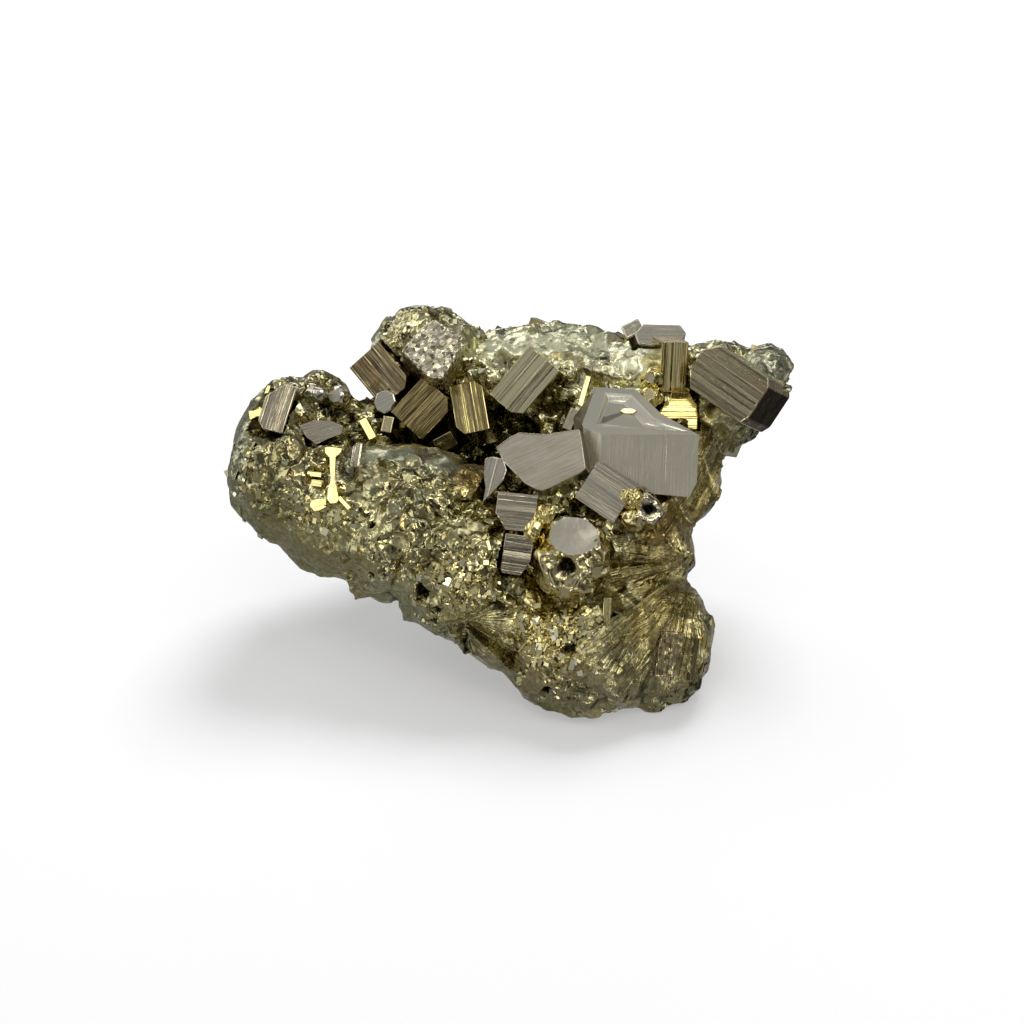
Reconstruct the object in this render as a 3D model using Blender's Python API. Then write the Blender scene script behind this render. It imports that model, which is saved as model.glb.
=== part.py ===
"""Pyrite specimen: a massive lump of iron pyrites grown together with striated cubes and blocks.

The lump, its crystals and the small cubes fused to it are one solid.  They are laid out on the
specimen's crystal-bearing face, as a collector would sketch it: across, up and out from that
face, in millimetres.  The face leans back as the specimen rests, so everything hangs from one
empty that holds the lean, and a level cut makes the flat that the specimen stands on.
"""

import math
import random

import bmesh
import bpy
from mathutils import Matrix, Vector
from mathutils.bvhtree import BVHTree

MM = 0.001

# Resting pose: the crystal face looks up and forwards, and the level cut below it is at z = 0.
LEAN = 62.0                     # degrees from lying flat to the pose that it rests in
FACE_PLACE = (0.02, -1.59, 15.5)  # mm, the face frame's origin above the middle of the footprint
CUT_REACH = 90.0                # mm, side of the square block that cuts the base level

# Massive pyrite: angular lumps that run into each other.
# at: centre; size: across, up, out; turn and tip: degrees that it is turned anticlockwise and
# then tipped outwards; points: corners on the lump.
LUMPS = {
    "left_lobe": {"at": (-23.0, 4.6, 0.0), "size": (13.8, 17.4, 16.0), "points": 110},
    "left_lobe_foot": {"at": (-17.6, -0.2, 0.0), "size": (16.4, 14.4, 16.0), "points": 90},
    "left_lobe_back": {"at": (-20.4, 5.0, -6.0), "size": (12.6, 13.0, 14.0), "points": 50},
    "left_crest": {"at": (-23.6, 11.2, -3.0), "size": (8.4, 7.2, 8.0), "points": 36},
    "left_peak": {"at": (-20.0, 12.2, -3.0), "size": (7.0, 6.6, 8.0), "points": 30},
    "saddle": {"at": (-15.0, 8.6, -5.0), "size": (9.0, 8.0, 10.0), "points": 40},
    "pocket_rim": {"at": (-11.4, 4.2, 1.5), "size": (15.0, 6.4, 9.0), "points": 60},
    "pocket_rim_right": {"at": (-5.0, 2.2, 3.5), "size": (12.0, 6.0, 9.0), "points": 50},
    "pocket_floor": {"at": (-11.4, 2.2, -5.6), "size": (17.0, 11.0, 13.0), "points": 46},
    "mid_wall": {"at": (-11.0, -2.0, 1.5), "size": (18.0, 15.6, 17.0), "points": 90},
    "mid_belly": {"at": (-4.0, -6.2, 3.0), "size": (17.0, 15.2, 17.0), "points": 80},
    "low_belly": {"at": (0.0, -10.6, 3.0), "size": (14.0, 12.0, 15.0), "points": 70},
    "centre": {"at": (5.0, -0.8, 1.5), "size": (17.0, 14.0, 14.6), "points": 60},
    "waist": {"at": (12.2, -3.4, 0.4), "size": (14.6, 15.0, 14.0), "points": 70},
    "foot": {"at": (7.8, -14.4, 4.4), "size": (18.0, 14.0, 17.0), "points": 90},
    "foot_right": {"at": (14.6, -13.4, 2.4), "size": (12.8, 16.2, 15.6), "points": 80},
    "foot_back": {"at": (5.0, -5.0, -10.0), "size": (24.0, 20.0, 16.0), "points": 46},
    "foot_bridge": {"at": (11.4, -9.4, -4.6), "size": (14.0, 13.0, 13.0), "points": 40},
    "back": {"at": (-3.0, 6.0, -11.6), "size": (31.0, 18.0, 14.0), "points": 48},
    "back_crest": {"at": (4.4, 15.1, -10.0), "size": (26.0, 11.4, 12.0), "points": 60},
    "crest_right": {"at": (14.4, 15.0, -8.0), "size": (17.0, 9.0, 12.0), "points": 44},
    "crest_left": {"at": (-9.3, 17.7, -6.6), "size": (12.0, 9.8, 10.0), "points": 60},
    "shoulder": {"at": (13.0, 7.4, -6.0), "size": (18.0, 13.0, 14.0), "points": 60},
    "cube_root": {"at": (12.0, 3.8, 0.0), "size": (9.0, 7.0, 9.0), "points": 40},
    "wedge": {"at": (21.8, 12.4, -4.8), "size": (12.4, 13.0, 11.0), "points": 60},
    "wedge_root": {"at": (17.8, 4.6, -3.0), "size": (9.8, 13.2, 13.0), "points": 50},
    "wedge_tip": {"at": (26.7, 15.0, -5.0), "size": (6.8, 6.8, 9.0), "points": 30},
    "bean": {"at": (6.4, -4.9, 9.5), "size": (6.6, 8.0, 6.6), "turn": -20.0, "points": 70},
    "knob_left": {"at": (-18.4, 12.0, 0.5), "size": (1.8, 1.8, 2.4), "points": 40},
    "knob_upper": {"at": (14.8, 14.0, -1.2), "size": (2.3, 2.5, 2.6), "points": 36},
    "knob_lower": {"at": (14.7, 12.2, -0.6), "size": (2.4, 2.0, 2.6), "points": 36},
}
LUMP_ROUGHNESS = 0.07    # share by which a corner stands proud of, or short of, the round form

# The open pocket between the rim and the crystals behind it.
POCKET = {
    "hollow": {"at": (-4.8, 8.2, -4.0), "size": (16.4, 8.8, 15.0), "points": 60},
    "well": {"at": (-1.0, 5.4, -2.8), "size": (10.4, 13.0, 8.6), "tip": 28.0, "points": 50},
}

# Crystals that stand out of the lump.
# at: centre of the front face; size: along the striations, across them, and how deep it goes;
# facing: degrees that the face is turned right and up; slant: degrees of the striations;
# cuts: how much a corner (sw, se, ne, nw of the face, before the slant) loses along and across.
CRYSTALS = {
    "cube": {"at": (13.9, 4.8, 6.4), "size": (7.6, 10.0, 4.8), "facing": (9.0, -26.0),
             "slant": 90.0, "cuts": {"ne": (0.9, 3.4), "se": (0.5, 3.0)}},
    "cube_rear": {"at": (12.2, 6.2, 3.2), "size": (6.6, 7.0, 5.6), "facing": (9.0, -26.0),
                  "slant": 90.0, "cuts": {"se": (1.6, 1.6)}},
    "slab": {"at": (3.1, 5.6, 8.2), "size": (8.8, 7.0, 3.0), "facing": (-6.0, 16.0),
             "slant": 22.0, "cuts": {"nw": (2.9, 0.9), "ne": (5.6, 2.3), "se": (1.3, 4.2),
                                     "sw": (2.8, 4.2)}},
    "blade": {"at": (-1.8, 3.8, 7.6), "size": (4.7, 2.2, 4.0), "facing": (-18.0, 10.0),
              "slant": 78.0, "cuts": {"ne": (0.8, 0.8), "sw": (1.2, 0.8)}},
    "stack_upper": {"at": (0.7, -0.2, 9.4), "size": (3.9, 3.6, 4.0), "facing": (-8.0, 4.0),
                    "slant": -7.0, "cuts": {"se": (0.9, 1.2)}},
    "stack_lower": {"at": (0.6, -4.4, 10.6), "size": (2.7, 3.6, 4.0), "facing": (-6.0, 0.0),
                    "slant": -8.0, "cuts": {"se": (0.8, 1.2), "sw": (0.4, 0.6)}},
    "bar": {"at": (9.5, 2.1, 9.4), "size": (5.4, 3.7, 4.6), "facing": (-34.0, 8.0),
            "slant": -34.0, "cuts": {}},
    "long_bar": {"at": (22.2, 13.7, 3.0), "size": (8.4, 5.8, 6.0), "facing": (-30.0, 8.0),
                 "slant": -33.0, "cuts": {"se": (1.2, 1.6), "nw": (1.0, 1.0), "sw": (1.2, 2.4)}},
    "top_slab": {"at": (16.0, 18.9, -5.6), "size": (6.4, 4.2, 4.0), "facing": (4.0, 52.0),
                 "slant": 0.0, "cuts": {"nw": (1.2, 0.8), "se": (0.8, 0.8)}},
    "crest_chip": {"at": (12.9, 19.8, -6.6), "size": (2.0, 1.8, 4.0), "facing": (-20.0, 30.0),
                   "slant": 30.0, "cuts": {}},
    "dark_prism": {"at": (17.0, 15.2, -0.6), "size": (5.2, 2.7, 4.0), "facing": (12.0, -12.0),
                   "slant": 90.0, "cuts": {}},
    "stepped_face": {"at": (17.3, 10.4, 0.6), "size": (3.7, 4.0, 4.0), "facing": (2.0, 14.0),
                     "slant": 0.0, "cuts": {"ne": (0.9, 1.6), "nw": (1.0, 1.8)}},
    "leaning_bar": {"at": (1.3, 13.7, -2.8), "size": (6.4, 4.0, 5.0), "facing": (-6.0, 8.0),
                    "slant": 50.0, "cuts": {"sw": (0.8, 1.2)}},
    "left_bar": {"at": (-13.9, 14.7, -2.6), "size": (4.8, 3.6, 5.0), "facing": (-12.0, -8.0),
                 "slant": -52.0, "cuts": {"ne": (0.8, 1.0)}},
    "left_tile": {"at": (-13.5, 11.6, -1.4), "size": (2.2, 2.1, 4.4), "facing": (2.0, -4.0),
                  "slant": 22.0, "cuts": {}},
    "olive_bar": {"at": (-9.4, 10.8, -1.4), "size": (4.8, 3.9, 6.0), "facing": (14.0, -18.0),
                  "slant": 44.0, "cuts": {"se": (1.0, 1.0)}},
    "gold_bar": {"at": (-4.5, 11.0, -1.8), "size": (5.2, 3.0, 6.0), "facing": (-10.0, -10.0),
                 "slant": 104.0, "cuts": {"nw": (1.0, 0.8), "se": (0.8, 0.8)}},
    "granular_block": {"at": (-8.2, 17.0, 0.4), "size": (5.0, 5.0, 6.0), "facing": (4.0, -6.0),
                       "slant": 38.0, "cuts": {"sw": (0.8, 0.8), "ne": (1.0, 1.0)}},
    "block_flank": {"at": (-13.8, 18.6, -3.4), "size": (4.0, 2.4, 5.0), "facing": (-38.0, 10.0),
                    "slant": 64.0, "cuts": {}},
    "crest_plate": {"at": (-24.6, 11.0, 5.6), "size": (5.6, 3.7, 4.4), "facing": (-14.0, 36.0),
                    "slant": 72.0, "cuts": {"ne": (1.4, 1.0)}},
    "peak_plate": {"at": (-20.4, 12.2, 2.6), "size": (4.8, 3.2, 4.4), "facing": (14.0, 22.0),
                   "slant": 66.0, "cuts": {"ne": (1.6, 1.4), "se": (0.6, 0.8)}},
    "lobe_tile": {"at": (-19.2, 8.8, 5.2), "size": (4.6, 2.8, 4.0), "facing": (10.0, 6.0),
                  "slant": 14.0, "cuts": {"nw": (1.6, 0.8)}},
    "pocket_stub": {"at": (-7.0, 7.3, -1.0), "size": (2.0, 1.6, 12.0), "facing": (4.0, -22.0),
                    "slant": 30.0, "cuts": {}},
    "pocket_rod": {"at": (-15.1, 8.7, 0.4), "size": (2.3, 0.9, 3.0), "facing": (20.0, 0.0),
                   "slant": -58.0, "cuts": {}},
    "pocket_chip": {"at": (-13.1, 9.2, -0.6), "size": (1.6, 1.1, 3.0), "facing": (0.0, 0.0),
                    "slant": 80.0, "cuts": {}},
    "rim_plate": {"at": (-18.2, 4.8, 6.2), "size": (4.8, 2.4, 3.4), "facing": (16.0, 6.0),
                  "slant": 82.0, "cuts": {}},
    "fan_left": {"at": (12.4, -10.2, 9.0), "size": (9.0, 2.0, 3.0), "facing": (4.0, 4.0),
                 "slant": 42.0, "cuts": {"nw": (2.4, 0.8)}},
    "fan_middle": {"at": (13.9, -13.4, 9.6), "size": (10.0, 1.9, 3.4), "facing": (10.0, -6.0),
                   "slant": 57.0, "cuts": {"nw": (2.0, 0.8)}},
    "fan_right": {"at": (16.6, -12.6, 8.8), "size": (10.0, 2.2, 3.4), "facing": (20.0, -8.0),
                  "slant": 70.0, "cuts": {"ne": (2.0, 0.8)}},
    "side_leaves": {"at": (18.5, -16.0, 6.0), "size": (4.8, 2.2, 4.0), "facing": (28.0, -6.0),
                    "slant": 86.0, "cuts": {}},
    "belly_fan": {"at": (-3.3, -13.2, 9.2), "size": (4.0, 3.4, 3.0), "facing": (-4.0, -20.0),
                  "slant": 60.0, "cuts": {"sw": (1.4, 1.2), "ne": (1.0, 1.0)}},
    "back_cube": {"at": (2.0, 6.0, -17.0), "size": (7.0, 7.0, 6.0), "facing": (168.0, 14.0),
                  "slant": 20.0, "cuts": {}},
    "back_bar": {"at": (-9.0, 3.0, -16.6), "size": (8.0, 4.6, 6.0), "facing": (196.0, -8.0),
                 "slant": -36.0, "cuts": {"ne": (1.2, 1.0)}},
    "back_block": {"at": (11.0, -3.0, -16.0), "size": (6.0, 5.2, 6.0), "facing": (150.0, 6.0),
                   "slant": 62.0, "cuts": {"sw": (1.0, 1.4)}},
    "crest_cube": {"at": (8.0, 15.0, -14.4), "size": (5.4, 5.0, 6.0), "facing": (172.0, 22.0),
                   "slant": -18.0, "cuts": {}},
    "side_cube": {"at": (24.2, 9.0, -11.0), "size": (4.6, 4.4, 5.0), "facing": (122.0, -6.0),
                  "slant": 30.0, "cuts": {}},
    "lobe_cube": {"at": (-24.0, 5.0, -11.6), "size": (5.6, 4.8, 5.4), "facing": (206.0, 10.0),
                  "slant": 12.0, "cuts": {}},
}

# Small cubes fused all over: where they are aimed from and at, how widely they spread, how many
# there are, and the smallest and largest edge.
SPRINKLES = {
    "crest": {"from": (3.0, 40.0, 10.0), "aim": (3.0, 14.0, -8.0), "spread": 15.0,
              "count": 22, "edge": (1.2, 2.6)},
    "right_slope": {"from": (60.0, 0.0, 34.0), "aim": (17.0, 4.0, 0.0), "spread": 7.0,
                    "count": 12, "edge": (0.9, 1.6)},
    "foot_front": {"from": (10.0, -14.0, 60.0), "aim": (10.0, -11.0, 0.0), "spread": 8.0,
                   "count": 8, "edge": (0.9, 1.5)},
    "wall_front": {"from": (-10.0, -10.0, 60.0), "aim": (-7.0, -4.0, 0.0), "spread": 9.0,
                   "count": 10, "edge": (0.8, 1.4)},
    "lobe_side": {"from": (-60.0, 10.0, -30.0), "aim": (-20.0, 4.0, -5.0), "spread": 7.0,
                  "count": 7, "edge": (1.2, 2.6)},
    "behind_small": {"from": (0.0, 30.0, -60.0), "aim": (0.0, 4.0, -10.0), "spread": 18.0,
                     "count": 22, "edge": (1.4, 2.8)},
    "behind_large": {"from": (0.0, 30.0, -60.0), "aim": (1.0, 1.0, -10.0), "spread": 17.0,
                     "count": 13, "edge": (3.0, 5.2)},
    "below": {"from": (-10.0, -60.0, -30.0), "aim": (-10.0, -4.0, -6.0), "spread": 12.0,
              "count": 10, "edge": (1.4, 3.2)},
}
SPRINKLE_SUNK = 0.36     # share of its edge by which a small cube's middle is below the surface

PYRITE = {"colour": (0.50, 0.47, 0.33, 1.0), "metallic": 1.0, "roughness": 0.32}
SEED = 16


def add_part(name, bm, face, material=None):
    """Make an object from bm, hung from the leaning face."""
    mesh = bpy.data.meshes.new(name)
    bmesh.ops.recalc_face_normals(bm, faces=bm.faces)
    bm.to_mesh(mesh)
    bm.free()
    obj = bpy.data.objects.new(name, mesh)
    bpy.context.scene.collection.objects.link(obj)
    obj.parent = face
    if material:
        mesh.materials.append(material)
    return obj


def pyrite_material():
    material = bpy.data.materials.new("pyrite")
    material.use_nodes = True
    shader = material.node_tree.nodes["Principled BSDF"]
    shader.inputs["Base Color"].default_value = PYRITE["colour"]
    shader.inputs["Metallic"].default_value = PYRITE["metallic"]
    shader.inputs["Roughness"].default_value = PYRITE["roughness"]
    return material


def lump_mesh(name, lump):
    """An angular ellipsoid: a hull over points on a golden-angle spiral, each a little in or out."""
    rng = random.Random(f"{SEED} {name}")
    golden_angle = math.pi * (3.0 - math.sqrt(5.0))
    count = lump["points"]
    twist = rng.uniform(0.0, math.tau)
    turn = (Matrix.Rotation(math.radians(lump.get("tip", 0.0)), 3, "X")
            @ Matrix.Rotation(math.radians(lump.get("turn", 0.0)), 3, "Z"))
    half = Vector(lump["size"]) / 2
    bm = bmesh.new()
    for i in range(count):
        height = 1.0 - 2.0 * (i + 0.5) / count
        ring = math.sqrt(1.0 - height * height)
        angle = twist + i * golden_angle
        reach = 1.0 + rng.uniform(-LUMP_ROUGHNESS, LUMP_ROUGHNESS)
        corner = Vector((ring * math.cos(angle), height, ring * math.sin(angle))) * reach
        corner = Vector(a * b for a, b in zip(corner, half))
        bm.verts.new((turn @ corner + Vector(lump["at"])) * MM)
    bmesh.ops.convex_hull(bm, input=bm.verts)
    inner = [vert for vert in bm.verts if not vert.link_faces]
    bmesh.ops.delete(bm, geom=inner, context="VERTS")
    return bm


def face_outline(length, width, cuts):
    """A rectangle whose named corners are cut off, anticlockwise from the south-west."""
    x, y = length / 2, width / 2
    outline = []
    for corner, (sx, sy) in {"sw": (-1, -1), "se": (1, -1), "ne": (1, 1), "nw": (-1, 1)}.items():
        along, across = cuts.get(corner, (0.0, 0.0))
        if not along:
            outline.append((sx * x, sy * y))
            continue
        pair = [(sx * x, sy * (y - across)), (sx * (x - along), sy * y)]
        outline += pair if corner in ("sw", "ne") else pair[::-1]
    return outline


def crystal_mesh(crystal):
    """A prism: the front face's outline, carried back into the lump."""
    length, width, depth = crystal["size"]
    right, up = crystal["facing"]
    turn = (Matrix.Rotation(math.radians(right), 3, "Y")
            @ Matrix.Rotation(math.radians(-up), 3, "X")
            @ Matrix.Rotation(math.radians(crystal["slant"]), 3, "Z"))
    bm = bmesh.new()
    outline = face_outline(length, width, crystal["cuts"])
    front = bm.faces.new([bm.verts.new((x, y, 0.0)) for x, y in outline])
    back = bmesh.ops.extrude_face_region(bm, geom=[front])["geom"]
    back_verts = [item for item in back if isinstance(item, bmesh.types.BMVert)]
    bmesh.ops.translate(bm, verts=back_verts, vec=(0.0, 0.0, -depth))
    bm.transform(turn.to_4x4())
    bmesh.ops.translate(bm, verts=bm.verts, vec=crystal["at"])
    bmesh.ops.scale(bm, verts=bm.verts, vec=(MM, MM, MM))
    return bm


def small_cube_mesh(centre, edge, rng):
    bm = bmesh.new()
    bmesh.ops.create_cube(bm, size=edge)
    stretch = [rng.uniform(0.8, 1.3) for _ in range(3)]
    bmesh.ops.scale(bm, verts=bm.verts, vec=stretch)
    turns = [rng.uniform(0.0, math.tau) for _ in range(3)]
    for axis, angle in zip("XYZ", turns):
        bm.transform(Matrix.Rotation(angle, 4, axis))
    bmesh.ops.translate(bm, verts=bm.verts, vec=centre)
    return bm


def sprinkle_meshes(name, sprinkle, surface):
    """Small cubes where lines from one point, spread about an aim, meet the lump's surface."""
    rng = random.Random(f"{SEED} {name}")
    origin = Vector(sprinkle["from"]) * MM
    aim = Vector(sprinkle["aim"]) * MM
    spread = sprinkle["spread"] * MM
    cubes = []
    while len(cubes) < sprinkle["count"]:
        offset = Vector(rng.gauss(0.0, 0.5) * spread for _ in range(3))
        hit, normal, _, _ = surface.ray_cast(origin, (aim + offset - origin).normalized())
        edge = rng.uniform(*sprinkle["edge"]) * MM
        if hit:
            cubes.append(small_cube_mesh(hit - normal * edge * SPRINKLE_SUNK, edge, rng))
    return cubes


def group(name, parts):
    """Keep parts in a collection of their own, as the operands of one Boolean."""
    collection = bpy.data.collections.new(name)
    bpy.context.scene.collection.children.link(collection)
    for part in parts:
        bpy.context.scene.collection.objects.unlink(part)
        collection.objects.link(part)
        part.hide_render = True
        part.display_type = "WIRE"
    return collection


def add_boolean(obj, name, operation, operand):
    boolean = obj.modifiers.new(name, "BOOLEAN")
    boolean.operation = operation
    boolean.solver = "EXACT"
    if isinstance(operand, bpy.types.Collection):
        boolean.operand_type = "COLLECTION"
        boolean.collection = operand
    else:
        boolean.object = operand


def surface_of(obj):
    """The object's present surface in the face's own frame, for things that are set on it."""
    depsgraph = bpy.context.evaluated_depsgraph_get()
    evaluated = obj.evaluated_get(depsgraph)
    bm = bmesh.new()
    bm.from_mesh(evaluated.to_mesh())
    surface = BVHTree.FromBMesh(bm)
    bm.free()
    evaluated.to_mesh_clear()
    return surface


def ground_cutter():
    """A block whose top is the ground, which cuts the base level."""
    bm = bmesh.new()
    bmesh.ops.create_cube(bm, size=CUT_REACH * MM)
    bmesh.ops.translate(bm, verts=bm.verts, vec=(0.0, 0.0, -CUT_REACH * MM / 2))
    return bm


def build():
    for obj in list(bpy.data.objects):
        bpy.data.objects.remove(obj, do_unlink=True)

    face = bpy.data.objects.new("leaning_face", None)
    bpy.context.scene.collection.objects.link(face)
    face.rotation_euler.x = math.radians(LEAN)
    face.location = Vector(FACE_PLACE) * MM

    lumps = {name: lump_mesh(name, lump) for name, lump in LUMPS.items()}
    specimen = add_part("pyrite_cluster", lumps.pop("centre"), face, pyrite_material())
    others = [add_part("lump_" + name, bm, face) for name, bm in lumps.items()]
    add_boolean(specimen, "massive lump", "UNION", group("lumps", others))

    hollows = [add_part("cut_" + name, lump_mesh(name, hollow), face)
               for name, hollow in POCKET.items()]
    add_boolean(specimen, "open pocket", "DIFFERENCE", group("pocket", hollows))

    surface = surface_of(specimen)
    crystals = [add_part("crystal_" + name, crystal_mesh(crystal), face)
                for name, crystal in CRYSTALS.items()]
    for name, sprinkle in SPRINKLES.items():
        crystals += [add_part("small_" + name, bm, face)
                     for bm in sprinkle_meshes(name, sprinkle, surface)]
    add_boolean(specimen, "crystals", "UNION", group("crystals", crystals))

    ground = add_part("cut_ground", ground_cutter(), None)
    add_boolean(specimen, "level base", "DIFFERENCE", ground)
    group("ground", [ground])


build()
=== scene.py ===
# Pyrite specimen: granular massive pyrite with striated cubes, blocks and blades grown into it.
import math
import random

import bmesh
import bpy
import numpy as np
from mathutils import Matrix, Vector, noise
from mathutils.bvhtree import BVHTree


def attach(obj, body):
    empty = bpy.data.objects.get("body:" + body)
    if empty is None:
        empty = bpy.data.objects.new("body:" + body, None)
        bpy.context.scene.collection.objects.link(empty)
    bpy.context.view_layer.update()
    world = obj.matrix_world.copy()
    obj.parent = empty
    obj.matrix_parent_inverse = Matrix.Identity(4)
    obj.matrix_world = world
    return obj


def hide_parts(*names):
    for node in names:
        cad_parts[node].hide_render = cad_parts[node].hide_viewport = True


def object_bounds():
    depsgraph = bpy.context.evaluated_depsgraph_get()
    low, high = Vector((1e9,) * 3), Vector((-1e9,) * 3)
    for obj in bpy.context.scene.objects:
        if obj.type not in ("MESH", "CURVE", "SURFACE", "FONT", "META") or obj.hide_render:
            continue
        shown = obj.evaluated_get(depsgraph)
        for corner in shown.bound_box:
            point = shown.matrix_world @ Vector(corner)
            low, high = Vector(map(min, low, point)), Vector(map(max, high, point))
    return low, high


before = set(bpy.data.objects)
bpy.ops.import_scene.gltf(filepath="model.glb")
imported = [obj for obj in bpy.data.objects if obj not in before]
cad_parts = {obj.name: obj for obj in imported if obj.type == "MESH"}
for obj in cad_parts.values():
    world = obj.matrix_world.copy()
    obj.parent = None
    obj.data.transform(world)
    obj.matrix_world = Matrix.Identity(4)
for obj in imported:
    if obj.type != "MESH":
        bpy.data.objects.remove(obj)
cadLow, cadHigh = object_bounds()
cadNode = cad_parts["pyrite_cluster"]
mm = 0.001

# The crystal-bearing face leans back; things on it are placed across, up and out from it, in mm.
face = {"lean": 62.0, "place": (0.02, -1.59, 15.5)}
faceFrame = (Matrix.Translation(Vector(face["place"]) * mm)
             @ Matrix.Rotation(math.radians(face["lean"]), 4, "X") @ Matrix.Scale(mm, 4))


def linearColour(code):
    channels = [int(code[i:i + 2], 16) / 255 for i in (1, 3, 5)]
    return [c / 12.92 if c <= 0.04045 else ((c + 0.055) / 1.055) ** 2.4 for c in channels] + [1.0]


def addNode(tree, kind, inputs=None, **settings):
    # An input is a value, a socket, or a node whose first output is meant
    node = tree.nodes.new(kind)
    for name, value in settings.items():
        setattr(node, name, value)
    for name, value in (inputs or {}).items():
        if isinstance(value, bpy.types.Node):
            value = value.outputs[0]
        if isinstance(value, bpy.types.NodeSocket):
            tree.links.new(value, node.inputs[name])
        else:
            node.inputs[name].default_value = value
    return node


def newMaterial(name, qualities=()):
    # With the share of each quality that the mesh of the piece gives its places
    material = bpy.data.materials.new(name)
    material.use_nodes = True
    tree = material.node_tree
    share = {quality: addNode(tree, "ShaderNodeAttribute", attribute_name=quality).outputs["Fac"]
             for quality in qualities}
    return material, tree, tree.nodes["Principled BSDF"], share


def weighed(tree, *parts):
    # The sum of some shares, each times its weight, kept between 0 and 1
    total = 0.0
    for share, weight in parts:
        total = addNode(tree, "ShaderNodeMath", {0: share, 1: weight, 2: total},
                        operation="MULTIPLY_ADD", use_clamp=True)
    return total


def layered(tree, base, share, colour, strength=1.0):
    # One colour laid over another, as far as the share says
    return addNode(tree, "ShaderNodeMix", {
        0: weighed(tree, (share, strength)), 6: base, 7: colour}, data_type="RGBA").outputs[2]


def bareMetal(tree, shader, colour, rough, normal=None):
    shader.inputs["Metallic"].default_value = 1.0
    for name, source in (("Base Color", colour), ("Roughness", rough), ("Normal", normal)):
        if source:
            tree.links.new(source, shader.inputs[name])


def addPiece(name, bm, material):
    bmesh.ops.recalc_face_normals(bm, faces=bm.faces)
    mesh = bpy.data.meshes.new(name)
    bm.to_mesh(mesh)
    bm.free()
    piece = bpy.data.objects.new(name, mesh)
    bpy.context.scene.collection.objects.link(piece)
    mesh.materials.append(material)
    return piece


def finishPiece(piece):
    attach(piece, "root")
    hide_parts("pyrite_cluster")
    print(piece.name, len(piece.data.polygons), "faces")


def joined(whole, parts):
    for bm in parts:
        mesh = bpy.data.meshes.new("onePart")
        bm.to_mesh(mesh)
        bm.free()
        whole.from_mesh(mesh)
        bpy.data.meshes.remove(mesh)
    return whole


def moved(points, matrix):
    matrix = np.array(matrix)
    return points @ matrix[:3, :3].T + matrix[:3, 3]


def meshPoints(mesh, kind="co"):
    points = np.empty(len(mesh.vertices) * 3)
    mesh.vertices.foreach_get(kind, points)
    return points.reshape(-1, 3)


def setPoints(mesh, points):
    room = 0.02 * mm      # the looks stay inside the solid's own box
    low, high = np.array(cadLow) + (room, room, 0.0), np.array(cadHigh) - room
    mesh.vertices.foreach_set("co", np.clip(points, low, high).ravel())
    mesh.update()


def addFloat(mesh, name, values):
    attribute = mesh.attributes.new(name, "FLOAT", "POINT")
    attribute.data.foreach_set("value", np.asarray(values, np.float32))


def evaluatedMesh(obj):
    depsgraph = bpy.context.evaluated_depsgraph_get()
    mesh = bpy.data.meshes.new_from_object(obj.evaluated_get(depsgraph))
    obj.modifiers.clear()
    obj.data = mesh
    return mesh


# Crystals with flat, striated faces.
# at: centre of the front face; size: along the striations, across them, and how deep it goes;
# facing: degrees that the face is turned right and up; slant: degrees of the striations;
# cuts: how much a corner (sw, se, ne, nw of the face) loses along and across;
# outline: the front face's own corners, right and up from its centre, where it isn't a rectangle;
# trims: planes that cut it further, by their normal and distance from the front's centre;
# relief: height of the growth steps; step: their usual width; riser: the width of the slope
# between two; lean: degrees that a strip leans; stairs: mm that the face falls back over each
# mm across; smooth: where the face starts, its steps start and end, and the face ends;
# pits: growth pits in the end face; bevel: mm that the edges are rounded;
# tone: tarnish, warmth, grain and satin, 0 to 1 and 0 where left out, then those of the ends
# and of the sides where they differ;
# solid: place, size and facing of the plain crystal that it replaces, where they differ.

crystalFinish = {
    "clean": "#D6D1C1",       # pale brass grey of an untarnished face
    "warm": "#D6C888",        # brass yellow where the tarnish is thin
    "tarnish": "#77634C",     # brown film on old faces
    "cloud": 2.38,            # mm across a patch of tarnish
    "stripePitch": 0.15,      # mm between growth lines
    "stripeDepth": 0.022,     # mm, coarser than the real one, which is too fine to show
    "stretch": 0.04,          # how much slower the lines change along themselves
    "grain": 0.34,            # mm across a grain on the granular faces
    "gloss": (0.08, 0.24),    # roughness of a clean line and of a tarnished one
    "grainRough": 0.08,       # what grain and satin add to it
    "satinRough": 0.34,
    "satinCalm": 0.85,        # how much of the lines a satin face loses
}
crystalQualities = ("tarnish", "warmth", "grain", "satin")


def tiltedNormal(tree, colour, amount, base=None):
    # Each grain is a facet of its own: its normal leans by its own random colour
    centred = addNode(tree, "ShaderNodeVectorMath", {
        0: colour, 1: (0.5, 0.5, 0.5)}, operation="SUBTRACT")
    lean = addNode(tree, "ShaderNodeVectorMath", {0: centred, "Scale": amount}, operation="SCALE")
    flat = base or addNode(tree, "ShaderNodeNewGeometry").outputs["Normal"]
    leaning = addNode(tree, "ShaderNodeVectorMath", {0: flat, 1: lean})
    return addNode(tree, "ShaderNodeVectorMath", {0: leaning}, operation="NORMALIZE")


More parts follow.
